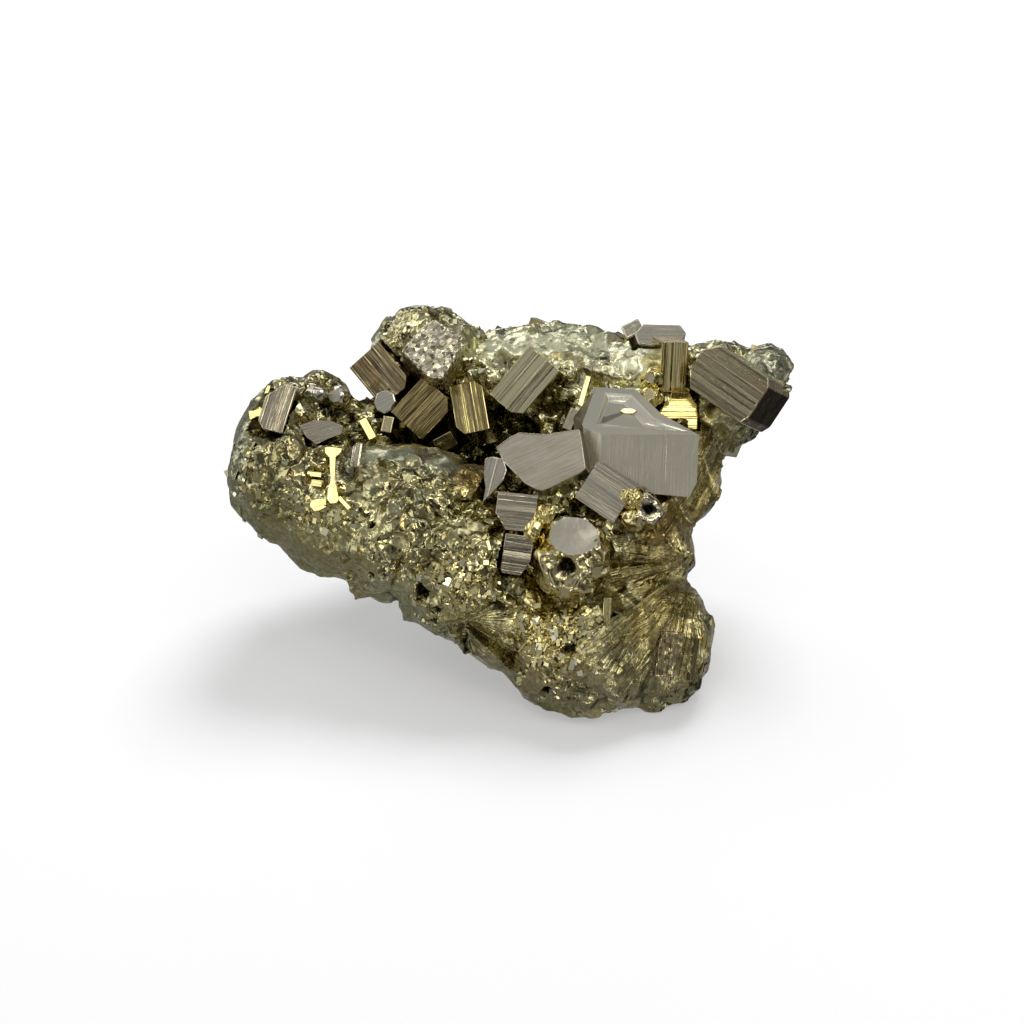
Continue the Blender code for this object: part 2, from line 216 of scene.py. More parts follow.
def crystalMaterial():
    # Natural pyrite crystal face: a mirror with growth lines, so it flashes in strips as it turns
    finish = crystalFinish
    material, tree, shader, share = newMaterial("striatedPyrite", crystalQualities)
    uv = addNode(tree, "ShaderNodeUVMap", uv_map="striation")
    along = addNode(tree, "ShaderNodeMapping", {0: uv, "Scale": (finish["stretch"], 1.0, 1.0)})
    lines = addNode(tree, "ShaderNodeTexNoise", {
        "Vector": along, "Scale": 1.0 / finish["stripePitch"], "Detail": 2.0, "Roughness": 0.6})
    place = addNode(tree, "ShaderNodeTexCoord").outputs["Object"]
    clouds = addNode(tree, "ShaderNodeTexNoise", {
        "Vector": place, "Scale": 1.0 / (finish["cloud"] * mm), "Detail": 4.0})
    strips = addNode(tree, "ShaderNodeMapRange", {0: lines, 1: 0.4, 2: 0.6})
    clear = addNode(tree, "ShaderNodeMath", {
        0: share["satin"], 1: -finish["satinCalm"], 2: 1.0}, operation="MULTIPLY_ADD")
    patchy = addNode(tree, "ShaderNodeMath", {
        0: strips, 1: clear, 2: clouds}, operation="MULTIPLY_ADD")
    film = addNode(tree, "ShaderNodeMath", {
        0: share["tarnish"], 1: patchy}, operation="MULTIPLY")
    colour = linearColour(finish["clean"])
    colour = layered(tree, colour, share["warmth"], linearColour(finish["warm"]))
    colour = layered(tree, colour, film, linearColour(finish["tarnish"]))
    smoothest, roughest = finish["gloss"]
    gloss = addNode(tree, "ShaderNodeMapRange", {
        0: patchy, 1: 0.5, 2: 1.5, 3: smoothest, 4: roughest})
    rough = weighed(tree, (gloss, 1.0), (share["satin"], finish["satinRough"]),
                    (share["grain"], finish["grainRough"]))
    cells = addNode(tree, "ShaderNodeTexVoronoi", {
        "Vector": place, "Scale": 1.0 / (finish["grain"] * mm)})
    bump = addNode(tree, "ShaderNodeBump", {
        "Height": lines, "Distance": finish["stripeDepth"] * mm, "Strength": clear,
        "Normal": tiltedNormal(tree, cells.outputs["Color"], share["grain"])})
    bareMetal(tree, shader, colour, rough.outputs[0], bump.outputs[0])
    return material


frontCrystals = {
    "cube": dict(
        at=(13.9, 4.8, 6.4), size=(7.6, 10.2, 7), facing=(8, -9), slant=90,
        outline=[(-6.7, 4), (-6.4, 0.3), (-5.1, -2.2), (-0.4, -2.9), (4.4, -3.3), (5.1, -1.8),
                 (5.15, 3.1), (1.8, 4.9), (-0.2, 7), (-4.4, 7.2)],
        trims=[((0.86, 0, 0.5), 2.75), ((0, 0.5, 0.87), 2.5)], relief=0.02, step=0.35, lean=1.6,
        smooth=(-9, -2, 1.4, 9), tone=[(0, 0, 0, 0.55), (0, 0, 0, 1), (0, 0, 0, 0.6)], pits=True,
        bevel=0.1,
        solid=dict(size=(7.6, 10, 4.8), facing=(9, -26))),
    "cubeRear": dict(
        at=(12.6, 6.4, 1.6), size=(5, 6, 5), facing=(9, -20), slant=90, relief=0.05, step=0.6,
        tone=[(0.1, 0.1, 0.1)],
        solid=dict(at=(13.4, 9, 4.9), size=(5.2, 8, 7), facing=(9, -20))),
    "pitGlint": dict(
        at=(12, 10.4, 3.75), size=(1.8, 0.7, 0.8), facing=(1, 12), slant=-8,
        outline=[(-0.9, 0), (-0.4, -0.3), (0.5, -0.3), (0.9, 0.05), (0.4, 0.3), (-0.5, 0.35)],
        tone=[(0, 0.7)]),
    "slab": dict(
        at=(3.1, 5.6, 8.2), size=(9.6, 7.4, 3), facing=(-13, 11), slant=24,
        outline=[(-4.95, 1), (-3.97, -0.64), (-1.73, -2.8), (-0.58, -3.4), (0.15, -3.6), (4, -1.7),
                 (4.52, -1.25), (4, 1.62), (3.69, 2.85), (0.15, 2.34), (-2.56, 2.55), (-3.5, 2.1)],
        relief=0.14, step=1.4, lean=1, bevel=0.14, tone=[(0.55, 0, 0, 0.6)],
        solid=dict(size=(8.8, 7, 3), facing=(-6, 16))),
    "blade": dict(
        at=(-1.7, 3.6, 7.6), size=(4.7, 2.2, 4), facing=(-14, 12), slant=78,
        outline=[(-1.2, 1.9), (-1.25, 0.3), (-1, -1.2), (-1.2, -2.7), (-0.4, -1.9), (0.9, -0.4),
                 (1.2, 0.6), (0.8, 1.9), (-0.5, 2.1)],
        relief=0.02, step=1.2, lean=1, bevel=0.12, tone=[(0.35,)]),
    "stackUpper": dict(
        at=(0.4, 0, 9.4), size=(4, 3.7, 4), facing=(-8, 4), slant=-6,
        cuts=dict(se=(0.9, 1.2), sw=(1.2, 1.6)), relief=0.08, step=0.3, lean=8, tone=[(0.3, 0.15)],
        solid=dict(at=(0.7, -0.2, 9.4))),
    "stackLower": dict(
        at=(0.5, -4.3, 10.4), size=(2.8, 3.9, 4), facing=(-6, 2), slant=-8,
        cuts=dict(se=(0.8, 1.6), sw=(0.2, 0.4)), relief=0.06, step=0.26, lean=9,
        tone=[(0.35, 0.15)],
        solid=dict(at=(0.6, -4.4, 10.6))),
    "bar": dict(
        at=(9.4, 2, 9.5), size=(4.8, 4.3, 4.6), facing=(-17, 3), slant=-33, relief=0.09, step=0.3,
        lean=12, tone=[(0.3, 0.05)],
        solid=dict(at=(9.5, 2.1, 9.4), size=(5.4, 3.7, 4.6), facing=(-34, 8))),
    "longBar": dict(
        at=(22.2, 13.5, 3), size=(8.6, 5.4, 6), facing=(-28, 8), slant=-33,
        cuts=dict(nw=(1.6, 1.4), sw=(1.2, 1.6), se=(0.5, 1), ne=(0.6, 0.8)), relief=0.06, step=0.24,
        lean=12, bevel=0.16, tone=[(0.4, 0.5), (1, 0.5, 0.1), (0.3, 0.6, 0.9)],
        solid=dict(at=(22.2, 13.7, 3), size=(8.4, 5.8, 6), facing=(-30, 8))),
    "darkPrism": dict(
        at=(17, 15.2, -0.6), size=(5.2, 2.8, 4), facing=(12, -12), slant=90, relief=0.1, step=0.4,
        lean=12, tone=[(0.2, 0.8)]),
    "steppedFace": dict(
        at=(17.3, 10.6, 0.8), size=(4.2, 4.2, 4), facing=(2, 13), slant=0,
        outline=[(-1.98, -0.9), (-2, -0.3), (-1.25, 0.83), (-0.9, 1), (-0.63, 1.98), (1.25, 2),
                 (1.6, 1.2), (1.98, 0.63), (2.09, -0.63), (1.98, -2.09), (1.04, -1.98),
                 (0.83, -0.94)],
        relief=0.25, step=0.4, lean=5, stairs=0.3, bevel=0.1, riser=0.13, tone=[(0, 1)],
        solid=dict(at=(17.3, 10.6, 0.6))),
}

ridgeCrystals = {
    "topSlab": dict(
        at=(15.7, 18.9, -5.4), size=(5.4, 3, 4), facing=(4, 31), slant=0,
        outline=[(-2.3, -1.2), (-0.6, -1.5), (2.4, -0.6), (3, 0.3), (2.4, 1.4), (-1.6, 1.5),
                 (-2.6, 0.2)],
        relief=0.02, step=1, lean=1, bevel=0.2, tone=[(0.5, 0, 0, 0.4)],
        solid=dict(at=(16, 18.8, -5.6), size=(6.4, 4.2, 4), facing=(4, 52))),
    "crestChip": dict(
        at=(12.9, 19.7, -6.6), size=(2, 1.8, 4), facing=(-20, 30), slant=30, bevel=0.2,
        tone=[(0.3, 0.2, 0.2)],
        solid=dict(size=(3, 2.8, 4.4))),
    "leaningBar": dict(
        at=(1.3, 13.7, -2.6), size=(6.6, 4.2, 5), facing=(-12, 6), slant=50,
        cuts=dict(sw=(0.8, 1.2)), relief=0.06, step=0.4, lean=9, tone=[(0.05, 0.5)],
        solid=dict(at=(1.3, 13.7, -2.8), size=(6.4, 4, 5), facing=(-6, 8))),
    "leftBar": dict(
        at=(-13.9, 14.5, -2.4), size=(5.4, 4.2, 5), facing=(-14, -8), slant=-51,
        cuts=dict(ne=(0.8, 1)), relief=0.06, step=0.3, lean=7, tone=[(0.7, 0.6)],
        solid=dict(at=(-13.9, 14.7, -2.6), size=(4.8, 3.6, 5), facing=(-12, -8))),
    "leftTile": dict(
        at=(-13.4, 11.6, -0.9), size=(2.6, 2.6, 4.4), facing=(-12, 8), slant=22,
        outline=[(-1.2, -0.2), (-0.9, -0.9), (0, -1.35), (0.8, -0.9), (1.25, 0), (1, 0.9),
                 (0.1, 1.3), (-0.9, 0.9)],
        relief=0, step=2, lean=0.5, bevel=0.16, tone=[(0.2,)],
        solid=dict(at=(-13.5, 11.6, -1.4), size=(2.2, 2.1, 4.4), facing=(2, 4))),
    "oliveBar": dict(
        at=(-9.4, 10.9, -1.2), size=(5, 4.4, 6), facing=(8, -12), slant=48,
        cuts=dict(se=(1, 1), ne=(0.4, 0.6)), relief=0.07, step=0.36, lean=7, tone=[(0.6, 1)],
        solid=dict(at=(-9.4, 10.8, -1.4), size=(4.8, 3.9, 6), facing=(14, -18))),
    "goldBar": dict(
        at=(-4.5, 11, -1.6), size=(5.4, 3.4, 6), facing=(-12, 10), slant=102,
        cuts=dict(nw=(1, 0.8), se=(0.8, 0.8)), relief=0.07, step=0.24, lean=9, tone=[(0.45, 1)],
        solid=dict(at=(-4.5, 11, -1.8), size=(5.2, 3, 6), facing=(-10, -10))),
    "granularBlock": dict(
        at=(-8.3, 17, 0.6), size=(5.4, 5.2, 6), facing=(0, 16), slant=38,
        outline=[(-3.3, -0.2), (-2.2, -1.4), (-0.4, -3.2), (1.1, -3.3), (2.2, -1.6), (3, 0.6),
                 (2, 2.2), (0.2, 3.4), (-1.3, 2.4)],
        relief=0.05, step=0.5, lean=3, bevel=0.25, tone=[(0.2, 0.25, 1)],
        solid=dict(at=(-8.2, 17, 0.4), size=(5, 5, 6), facing=(4, -6))),
    "pocketStub": dict(
        at=(-7, 7.3, -1), size=(2, 1.6, 12), facing=(4, -22), slant=30, tone=[(0.4, 0.6, 0.1)]),
    "pocketRod": dict(
        at=(-15.1, 8.7, 0.4), size=(2.3, 0.8, 3), facing=(2, 12), slant=-62, relief=0.01, lean=1,
        tone=[(0.3, 1)]),
    "pocketChip": dict(
        at=(-13.1, 9.2, -0.6), size=(1.6, 1.1, 3), facing=(-10, 10), slant=80, relief=0.01, lean=1,
        tone=[(0.2, 0.6)]),
}

lobeCrystals = {
    "crestPlate": dict(
        at=(-24.1, 10.8, 5.4), size=(5.2, 2.9, 4.4), facing=(-10, 14), slant=76,
        cuts=dict(ne=(1.8, 1.8), se=(0.4, 0.6), nw=(0.8, 0.8)), relief=0.08, step=0.3, lean=9,
        bevel=0.16, tone=[(0.5, 0.2)],
        solid=dict(at=(-24.6, 11, 5.6), size=(5.6, 3.7, 4.4), facing=(-14, 36))),
    "lobeTile": dict(
        at=(-19.6, 8.2, 5.6), size=(4.6, 2.8, 3), facing=(-8, 8), slant=14,
        outline=[(-2.33, 0.71), (-1.42, -0.61), (-0.41, -1.32), (0.91, -0.71), (2.23, -0.2),
                 (2.33, 0.61), (1.12, 1.12), (-0.91, 1.22)],
        relief=0.02, step=0.9, lean=2, tone=[(0.4, 0.1)],
        solid=dict(at=(-19.2, 8.8, 5.2), facing=(10, 6))),
}

backCrystals = {
    "backCube": dict(
        at=(2, 6, -17), size=(7, 7, 6), facing=(168, 14), slant=20, relief=0.04, step=0.5,
        tone=[(0.2, 0.2)]),
    "backBar": dict(
        at=(-9, 3, -16.6), size=(8, 4.6, 6), facing=(196, -8), slant=-36, cuts=dict(ne=(1.2, 1)),
        relief=0.08, step=0.35, lean=8, tone=[(0.4, 0.4)]),
    "backBlock": dict(
        at=(11, -3, -16), size=(6, 5.2, 6), facing=(150, 6), slant=62, cuts=dict(sw=(1, 1.4)),
        relief=0.05, step=0.5, lean=5, tone=[(0.2, 0.4)]),
    "crestCube": dict(
        at=(8, 15, -14.4), size=(5.4, 5, 6), facing=(172, 22), slant=-18, relief=0.04, step=0.5,
        tone=[(0.3, 0.2)]),
    "sideCube": dict(
        at=(24.2, 9, -11), size=(4.6, 4.4, 5), facing=(122, -6), slant=30, relief=0.05, step=0.4,
        lean=5, tone=[(0.3, 0.3)]),
    "lobeCube": dict(
        at=(-24, 5, -11.6), size=(5.6, 4.8, 5.4), facing=(206, 10), slant=12, relief=0.04, step=0.5,
        tone=[(0.2, 0.3)]),
}

# Small flat growths that sit on the skin: here at has only right and up, and lift is mm above it.
smallPlates = {
    "forkedGlint": dict(
        at=(-18.4, 3.5), lift=0.25, size=(6.4, 2, 1.6), facing=(2, 12), slant=88,
        outline=[(-0.66, 3.14), (-0.61, 2.54), (-0.15, 2.03), (-0.1, 0.81), (0, -0.3),
                 (-0.3, -1.22), (-0.41, -2.23), (0, -2.74), (0.71, -2.64), (0.91, -2.23),
                 (0.71, -1.42), (0.51, -0.3), (0.46, 0.81), (0.51, 2.13), (1.01, 2.54),
                 (1.22, 3.04), (-0.1, 3.24)]),
    "footGlint": dict(
        at=(-19.7, 0.7), lift=0.2, size=(2, 1.4, 1.4), facing=(1, 13), slant=30,
        outline=[(-0.81, 0.51), (-0.81, -0.2), (-0.41, -0.67), (0.2, -0.61), (0.91, -0.2),
                 (0.81, 0.71), (0, 0.71)]),
    "tailGlint": dict(at=(-17, 0.9), lift=0.2, size=(1.6, 0.4, 1.2), facing=(3, 12), slant=-48),
    "crestGlint": dict(
        at=(-26.2, 10.1), lift=0.2, size=(1.6, 1.4, 1.4), facing=(1, 13), slant=20,
        outline=[(-0.9, 0.3), (-0.7, -0.7), (0.1, -0.3), (0.8, -0.6), (0.9, 0.2), (0.3, 0.8),
                 (-0.2, 0.4)]),
    "crestDash": dict(at=(-25.8, 12.2), lift=0.2, size=(2.2, 0.3, 1), facing=(2, 14), slant=72),
    "stripeHigh": dict(
        at=(-20.6, 3.9), lift=0.2, size=(2.4, 0.5, 1.2), facing=(4, 10), slant=-6, relief=0.05,
        step=0.2, lean=8, tone=[(0.3, 0.9)]),
    "stripeLow": dict(
        at=(-20.2, 3), lift=0.25, size=(1.6, 0.7, 1.2), facing=(3, 12), slant=-8, relief=0.05,
        step=0.2, lean=6, tone=[(0.3, 0.9)]),
    "needle": dict(
        at=(7.5, 12.3), lift=0.9, size=(4.6, 0.55, 2), facing=(2, 12), slant=74, relief=0.02,
        step=0.2, lean=3, tone=[(0.3, 0.7)]),
    "needleFoot": dict(
        at=(6.2, 9.8), lift=0.9, size=(2.3, 1, 2), facing=(-10, 10), slant=68, tone=[(0.4, 0.2)]),
    "rimRidge": dict(
        at=(-16.1, 5.6), lift=0.5, size=(3.2, 1, 2), facing=(-8, 14), slant=84,
        cuts=dict(ne=(0.4, 0.4), nw=(0.4, 0.4)), lean=3, bevel=0.2, tone=[(0.3, 0.2, 0.1)]),
    "footBlock": dict(
        at=(15.9, -14.4), lift=0.25, size=(4.6, 2.6, 3), facing=(16, -8), slant=84,
        cuts=dict(ne=(0.8, 0.6), sw=(0.6, 0.8)), relief=0.12, step=0.4, lean=6, bevel=0.2,
        tone=[(0.5, 0.7, 0.7)]),
    "leafInner": dict(
        at=(18.2, -14.9), lift=0.15, size=(4.4, 1, 3), facing=(24, -4), slant=82, relief=0.08,
        step=0.3, lean=9, bevel=0.12, tone=[(0.5, 0.8)]),
    "leafOuter": dict(
        at=(19.4, -14.4), lift=-0.1, size=(3.6, 0.8, 3), facing=(34, -4), slant=80, relief=0.08,
        step=0.3, lean=9, bevel=0.12, tone=[(0.3, 0.9)]),
    "ridgeLine": dict(
        at=(9.5, -10.3), lift=0.3, size=(3.4, 0.7, 2), facing=(-6, 6), slant=88, relief=0.05,
        step=0.2, lean=6, bevel=0.14, tone=[(0.1, 0.8)]),
}

crystalEdge = {
    "bevel": 0.08,            # mm, where a crystal has none of its own
    "proud": 0.05,            # mm that a face stands out from its place
    "riser": 0.03,            # mm, the slope between two growth steps
    "sharp": 25.0,            # degrees from which an edge is bevelled
    "pitRim": 1.2,            # mm of flat rim round the growth pits
    "pitRings": (0.26, 0.3, 0.26, 0.22, 0.2),     # mm across each ring that steps down
    "pitDepth": 0.09,         # mm from ring to ring
}
plateTone = [(0.0, 1.0)]      # of a small plate that has none of its own


def crystalMatrix(crystal):
    right, up = crystal["facing"]
    return (faceFrame @ Matrix.Translation(crystal["at"])
            @ Matrix.Rotation(math.radians(right), 4, "Y")
            @ Matrix.Rotation(math.radians(-up), 4, "X")
            @ Matrix.Rotation(math.radians(crystal["slant"]), 4, "Z"))


def frontOutline(crystal):
    if "outline" in crystal:
        turn = Matrix.Rotation(math.radians(-crystal["slant"]), 2)
        return [tuple(turn @ Vector(corner)) for corner in crystal["outline"]]
    x, y = (side / 2 + crystalEdge["proud"] for side in crystal["size"][:2])
    cuts = crystal.get("cuts", {})
    outline = []
    for corner, (sx, sy) in dict(sw=(-1, -1), se=(1, -1), ne=(1, 1), nw=(-1, 1)).items():
        along, across = cuts.get(corner, (0.0, 0.0))
        pair = [(sx * x, sy * (y - across)), (sx * (x - along), sy * y)]
        if not along:
            outline.append((sx * x, sy * y))
        else:
            outline += pair if corner in ("sw", "ne") else pair[::-1]
    return outline


def trimOff(bm, point, normal):
    cut = bmesh.ops.bisect_plane(bm, geom=bm.verts[:] + bm.edges[:] + bm.faces[:], plane_co=point,
                                 plane_no=normal, clear_outer=True)["geom_cut"]
    rim = [item for item in cut if isinstance(item, bmesh.types.BMEdge)]
    return bmesh.ops.edgeloop_fill(bm, edges=rim)["faces"]


def sinkPits(bm, rng):
    # Growth pits: uneven rings that step down into the end face
    end = max((f for f in bm.faces if 0.5 < f.normal.x < 0.99), key=lambda f: f.calc_area())
    rings = [(crystalEdge["pitRim"], 0.0)]
    rings += [(width, -crystalEdge["pitDepth"]) for width in crystalEdge["pitRings"]]
    for width, depth in rings:
        bmesh.ops.inset_region(bm, faces=[end], thickness=width, depth=depth)
        slide = Vector((rng.uniform(-0.1, 0.1), rng.uniform(-0.15, 0.15), 0.0))
        slide.z = -slide.x * end.normal.x / end.normal.z
        for vert in end.verts:
            vert.co += slide


def stepLines(crystal, rng):
    # Growth steps across a face: where each strip starts and ends, and how high it stands
    width, step = crystal["size"][1], crystal.get("step", 0.5)
    relief, stairs = crystal.get("relief", 0.04), crystal.get("stairs", 0.0)
    riser = crystal.get("riser", crystalEdge["riser"])
    lean = math.tan(math.radians(crystal.get("lean", 2.5)))
    below, start, end, above = crystal.get("smooth", (-width, -width / 2, width / 2, width))
    y = start + step * 0.5
    height = fall = 0.0
    lines = [(below, 0.0)]
    while y < end - step * 0.4:
        lines.append((y, height - fall))
        strip = step * rng.choice([0.35, 0.6, 1.0, 1.6])
        height = -relief * rng.random() ** 1.5
        fall = stairs * (y + width / 2)
        lines.append((y + riser, height - fall))
        y += strip + riser
        height += strip * lean * rng.uniform(-1.0, 1.0)
    lines.append((y, height - fall))
    lines.append((y + riser, -fall))
    lines.append((max(above, y + 1.0), -fall))
    return lines


def heightAt(lines, y):
    for (y0, h0), (y1, h1) in zip(lines, lines[1:]):
        if y <= y1:
            return h0 + (h1 - h0) * (y - y0) / (y1 - y0)
    return lines[-1][1]


def striatedCrystal(name, crystal):
    rng = random.Random(name)
    bm = bmesh.new()
    proud = crystalEdge["proud"]
    front = bm.faces.new([bm.verts.new((x, y, proud)) for x, y in frontOutline(crystal)])
    grown = bmesh.ops.extrude_face_region(bm, geom=[front])["geom"]
    rear = [item for item in grown if isinstance(item, bmesh.types.BMVert)]
    bmesh.ops.translate(bm, verts=rear, vec=(0.0, 0.0, -crystal["size"][2]))
    bmesh.ops.recalc_face_normals(bm, faces=bm.faces)
    for normal, distance in crystal.get("trims", []):
        trimOff(bm, Vector(normal) * distance, normal)
    if crystal.get("pits"):
        sinkPits(bm, rng)
    bmesh.ops.recalc_face_normals(bm, faces=bm.faces)
    least = math.radians(crystalEdge["sharp"])
    sharp = [edge for edge in bm.edges if edge.calc_face_angle(0.0) > least]
    bmesh.ops.bevel(bm, geom=sharp, offset=crystal.get("bevel", crystalEdge["bevel"]), segments=4,
                    affect="EDGES", profile=0.5, material=-1, clamp_overlap=True)
    lines = stepLines(crystal, rng)
    for y, _ in lines[1:-1]:
        bmesh.ops.bisect_plane(bm, geom=bm.verts[:] + bm.edges[:] + bm.faces[:],
                               plane_co=(0.0, y, 0.0), plane_no=(0.0, 1.0, 0.0))
    for vert in bm.verts:
        if vert.co.z > proud - 0.001:
            vert.co.z += heightAt(lines, vert.co.y)
    bmesh.ops.recalc_face_normals(bm, faces=bm.faces)
    uvs = bm.loops.layers.uv.new("striation")
    qualities = [bm.loops.layers.float.new(layer) for layer in crystalQualities]
    tones = crystal.get("tone", plateTone)
    shift = rng.uniform(0.0, 100.0)
    for f in bm.faces:
        across = max(range(3), key=lambda axis: abs(f.normal[axis]))
        first, second, side = {2: (0, 1, 0), 0: (1, 2, 1), 1: (2, 0, 2)}[across]
        tone = tones[min(side, len(tones) - 1)]
        for loop in f.loops:
            loop[uvs].uv = (loop.vert.co[first], loop.vert.co[second] + shift)
            for quality, value in zip(qualities, tone):
                loop[quality] = value
    bm.transform(crystalMatrix(crystal))
    return bm


def crystalGroup(name, crystals, material):
    whole = bmesh.new()
    whole.loops.layers.uv.new("striation")
    for layer in crystalQualities:
        whole.loops.layers.float.new(layer)
    joined(whole, (striatedCrystal(*item) for item in crystals.items()))
    piece = addPiece(name, whole, material)
    setPoints(piece.data, meshPoints(piece.data))
    finishPiece(piece)


striatedPyrite = crystalMaterial()
groups = dict(front_crystals=frontCrystals, ridge_crystals=ridgeCrystals,
              lobe_crystals=lobeCrystals, back_crystals=backCrystals)
for groupName, crystals in groups.items():
    crystalGroup(groupName, crystals, striatedPyrite)


# Rounded growths: the bean, the knobs, and the blobs beside the stack and the bar.
# at and size as for the crystals; turn: degrees about the outward direction; flats: planes that
# cut facets, as a normal and the share of the half size at which they cut; folds: mm between
# folds and their height; pit: direction, reach and depth of a hole, in half sizes; tone: tarnish
# and warmth, then dullness of the flats.

rounded = {
    "bean": dict(
        at=(6, -4.7, 9.5), size=(7.8, 8.4, 6.8), turn=-10, flats=[((-0.08, 0.7, 0.7), 0.78)],
        folds=(1.5, 0.7), pit=((-0.16, -0.32, 0.93), 0.34, 0.4), tone=(0.4, 0.7, 0.9)),
    "knobLeft": dict(
        at=(-18.1, 12, 0.8), size=(2.6, 2.4, 2.8), turn=0, flats=[((-0.3, 0.05, 0.95), 0.86)],
        folds=(1.4, 0.2), tone=(0.35, 0, 1)),
    "knobLobe": dict(
        at=(-20.6, 12.2, 1.2), size=(3, 2.4, 2.8), turn=14, folds=(1.6, 0.4), tone=(0.5, 0, 1)),
    "knobUpper": dict(
        at=(14.8, 14, -1.1), size=(2.5, 2.4, 2.8), turn=0, flats=[((-0.34, 0.12, 0.93), 0.9)],
        folds=(1.4, 0.25), tone=(0, 1, 0.4)),
    "knobLower": dict(
        at=(14.7, 12, -0.5), size=(2.5, 2.4, 2.8), turn=10, flats=[((-0.3, 0.3, 0.9), 0.9)],
        folds=(1.2, 0.3), tone=(0.1, 1, 0.3)),
    "blobUpper": dict(
        at=(3.2, -0.4, 9.9), size=(1.7, 2.6, 2.6), turn=-34, folds=(0.8, 0.5), tone=(0, 1, 0)),
    "blobLower": dict(
        at=(2.2, -1.9, 10), size=(1.6, 2.4, 2.6), turn=-20, folds=(0.8, 0.5), tone=(0, 1, 0)),
    "blobSide": dict(
        at=(12, 1.4, 9.6), size=(2, 2.4, 2.6), turn=20, folds=(0.8, 0.5), tone=(0.1, 1, 0)),
    "blobDark": dict(
        at=(13.6, 0.2, 9.4), size=(2.8, 3.4, 3.2), turn=30, folds=(1.2, 0.5),
        pit=((0.1, 0, 1), 0.75, 0.5), tone=(0.5, 0.2, 0)),
    "blobFoot": dict(
        at=(12.2, -0.7, 9.3), size=(2.4, 2.2, 2.6), turn=-30, folds=(0.8, 0.5), tone=(0.3, 0.8, 0)),
}
roundedQualities = ("tarnish", "warmth", "dull", "hollow")
roundedFinish = {
    "rim": 0.5,               # mm, the soft rim round a facet
    "cloud": 1.43,            # mm across a patch of tarnish or a dent of the orange peel
    "peel": 0.1,              # mm deep
    "gloss": (0.08, 0.2),     # roughness between the dents and on them
    "dullRough": 0.22,        # what a dull facet adds to it
    "paintedShade": "#1E1A12",       # painted shade in deep holes
}


def bendAt(place):
    # Three even noises side by side (noise_vector would differ from run to run)
    x, y, z = place
    return Vector((noise.noise(place), noise.noise(Vector((y + 31.7, z, x))),
                   noise.noise(Vector((z, x - 17.3, y)))))


def foldHeight(place, pitch, high):
    # Curved folds with thin crests, like crumpled foil
    bent = place + bendAt(place / (pitch * 2.4)) * pitch * 1.2
    return high * (0.4 - 1.6 * abs(noise.noise(bent * 0.8 / pitch)))


def growthMatrix(growth):
    return (faceFrame @ Matrix.Translation(growth["at"])
            @ Matrix.Rotation(math.radians(growth["turn"]), 4, "Z"))


def roundedGrowth(growth):
    bm = bmesh.new()
    bmesh.ops.create_icosphere(bm, subdivisions=5, radius=1.0)
    flats = []
    for normal, share in growth.get("flats", []):
        flats += trimOff(bm, Vector(normal).normalized() * share, normal)
    half = Vector(growth["size"]) / 2
    dull = bm.verts.layers.float.new("dull")
    hollow = bm.verts.layers.float.new("hollow")
    for vert in {vert for f in flats for vert in f.verts}:
        vert[dull] = 1.0
    pit, reach, depth = growth.get("pit", ((0.0, 0.0, 1.0), 0.01, 0.0))
    for vert in bm.verts:
        outward = vert.co.normalized()
        vert.co = Vector((c * h for c, h in zip(vert.co, half)))
        if vert[dull] < 0.5:
            # Round a pit the hole sinks in and is painted dark as shade, most in its middle
            away = (outward - Vector(pit).normalized()).length / reach
            sunk = depth * math.exp(-away ** 4) * half.x
            if depth:
                vert[hollow] = min(1.0, 1.2 * math.exp(-(away / 0.85) ** 6))
            place = vert.co + Vector(growth["at"])
            vert.co += outward * (foldHeight(place, *growth["folds"]) * (away > 1.0) - sunk)
    bm.normal_update()
    rims = {edge for f in flats if f.is_valid for edge in f.edges}
    bmesh.ops.bevel(bm, geom=list(rims), offset=roundedFinish["rim"], segments=3,
                    affect="EDGES", profile=0.5, material=-1, clamp_overlap=True)
    bm.transform(growthMatrix(growth))
    for layer, value in zip(("tarnish", "warmth"), growth["tone"]):
        values = bm.verts.layers.float.new(layer)
        for vert in bm.verts:
            vert[values] = value
    for vert in bm.verts:
        vert[dull] *= growth["tone"][2]
    return bm


def roundedMaterial():
    # Pyrite that grew round and was partly dissolved: soft mirror with a faint orange peel
    finish = roundedFinish
    material, tree, shader, share = newMaterial("roundedPyrite", roundedQualities)
    place = addNode(tree, "ShaderNodeTexCoord").outputs["Object"]
    clouds = addNode(tree, "ShaderNodeTexNoise", {
        "Vector": place, "Scale": 1.0 / (finish["cloud"] * mm), "Detail": 5.0})
    bright = addNode(tree, "ShaderNodeMath", {0: 1.0, 1: share["dull"]}, operation="SUBTRACT")
    warmth = addNode(tree, "ShaderNodeMath", {
        0: share["warmth"], 1: bright}, operation="MULTIPLY")
    film = addNode(tree, "ShaderNodeMath", {
        0: share["tarnish"], 1: clouds}, operation="MULTIPLY")
    colour = linearColour(crystalFinish["clean"])
    colour = layered(tree, colour, warmth, linearColour(crystalFinish["warm"]))
    colour = layered(tree, colour, film, linearColour(crystalFinish["tarnish"]))
    # Painted shade: the hole of a pit is darkened towards black
    colour = layered(tree, colour, share["hollow"], linearColour(finish["paintedShade"]))
    smoothest, roughest = finish["gloss"]
    gloss = addNode(tree, "ShaderNodeMapRange", {
        0: clouds, 1: 0.35, 2: 0.65, 3: smoothest, 4: roughest})
    rough = weighed(tree, (gloss, 1.0), (share["dull"], finish["dullRough"]))
    bump = addNode(tree, "ShaderNodeBump", {"Height": clouds, "Distance": finish["peel"] * mm})
    bareMetal(tree, shader, colour, rough.outputs[0], bump.outputs[0])
    return material


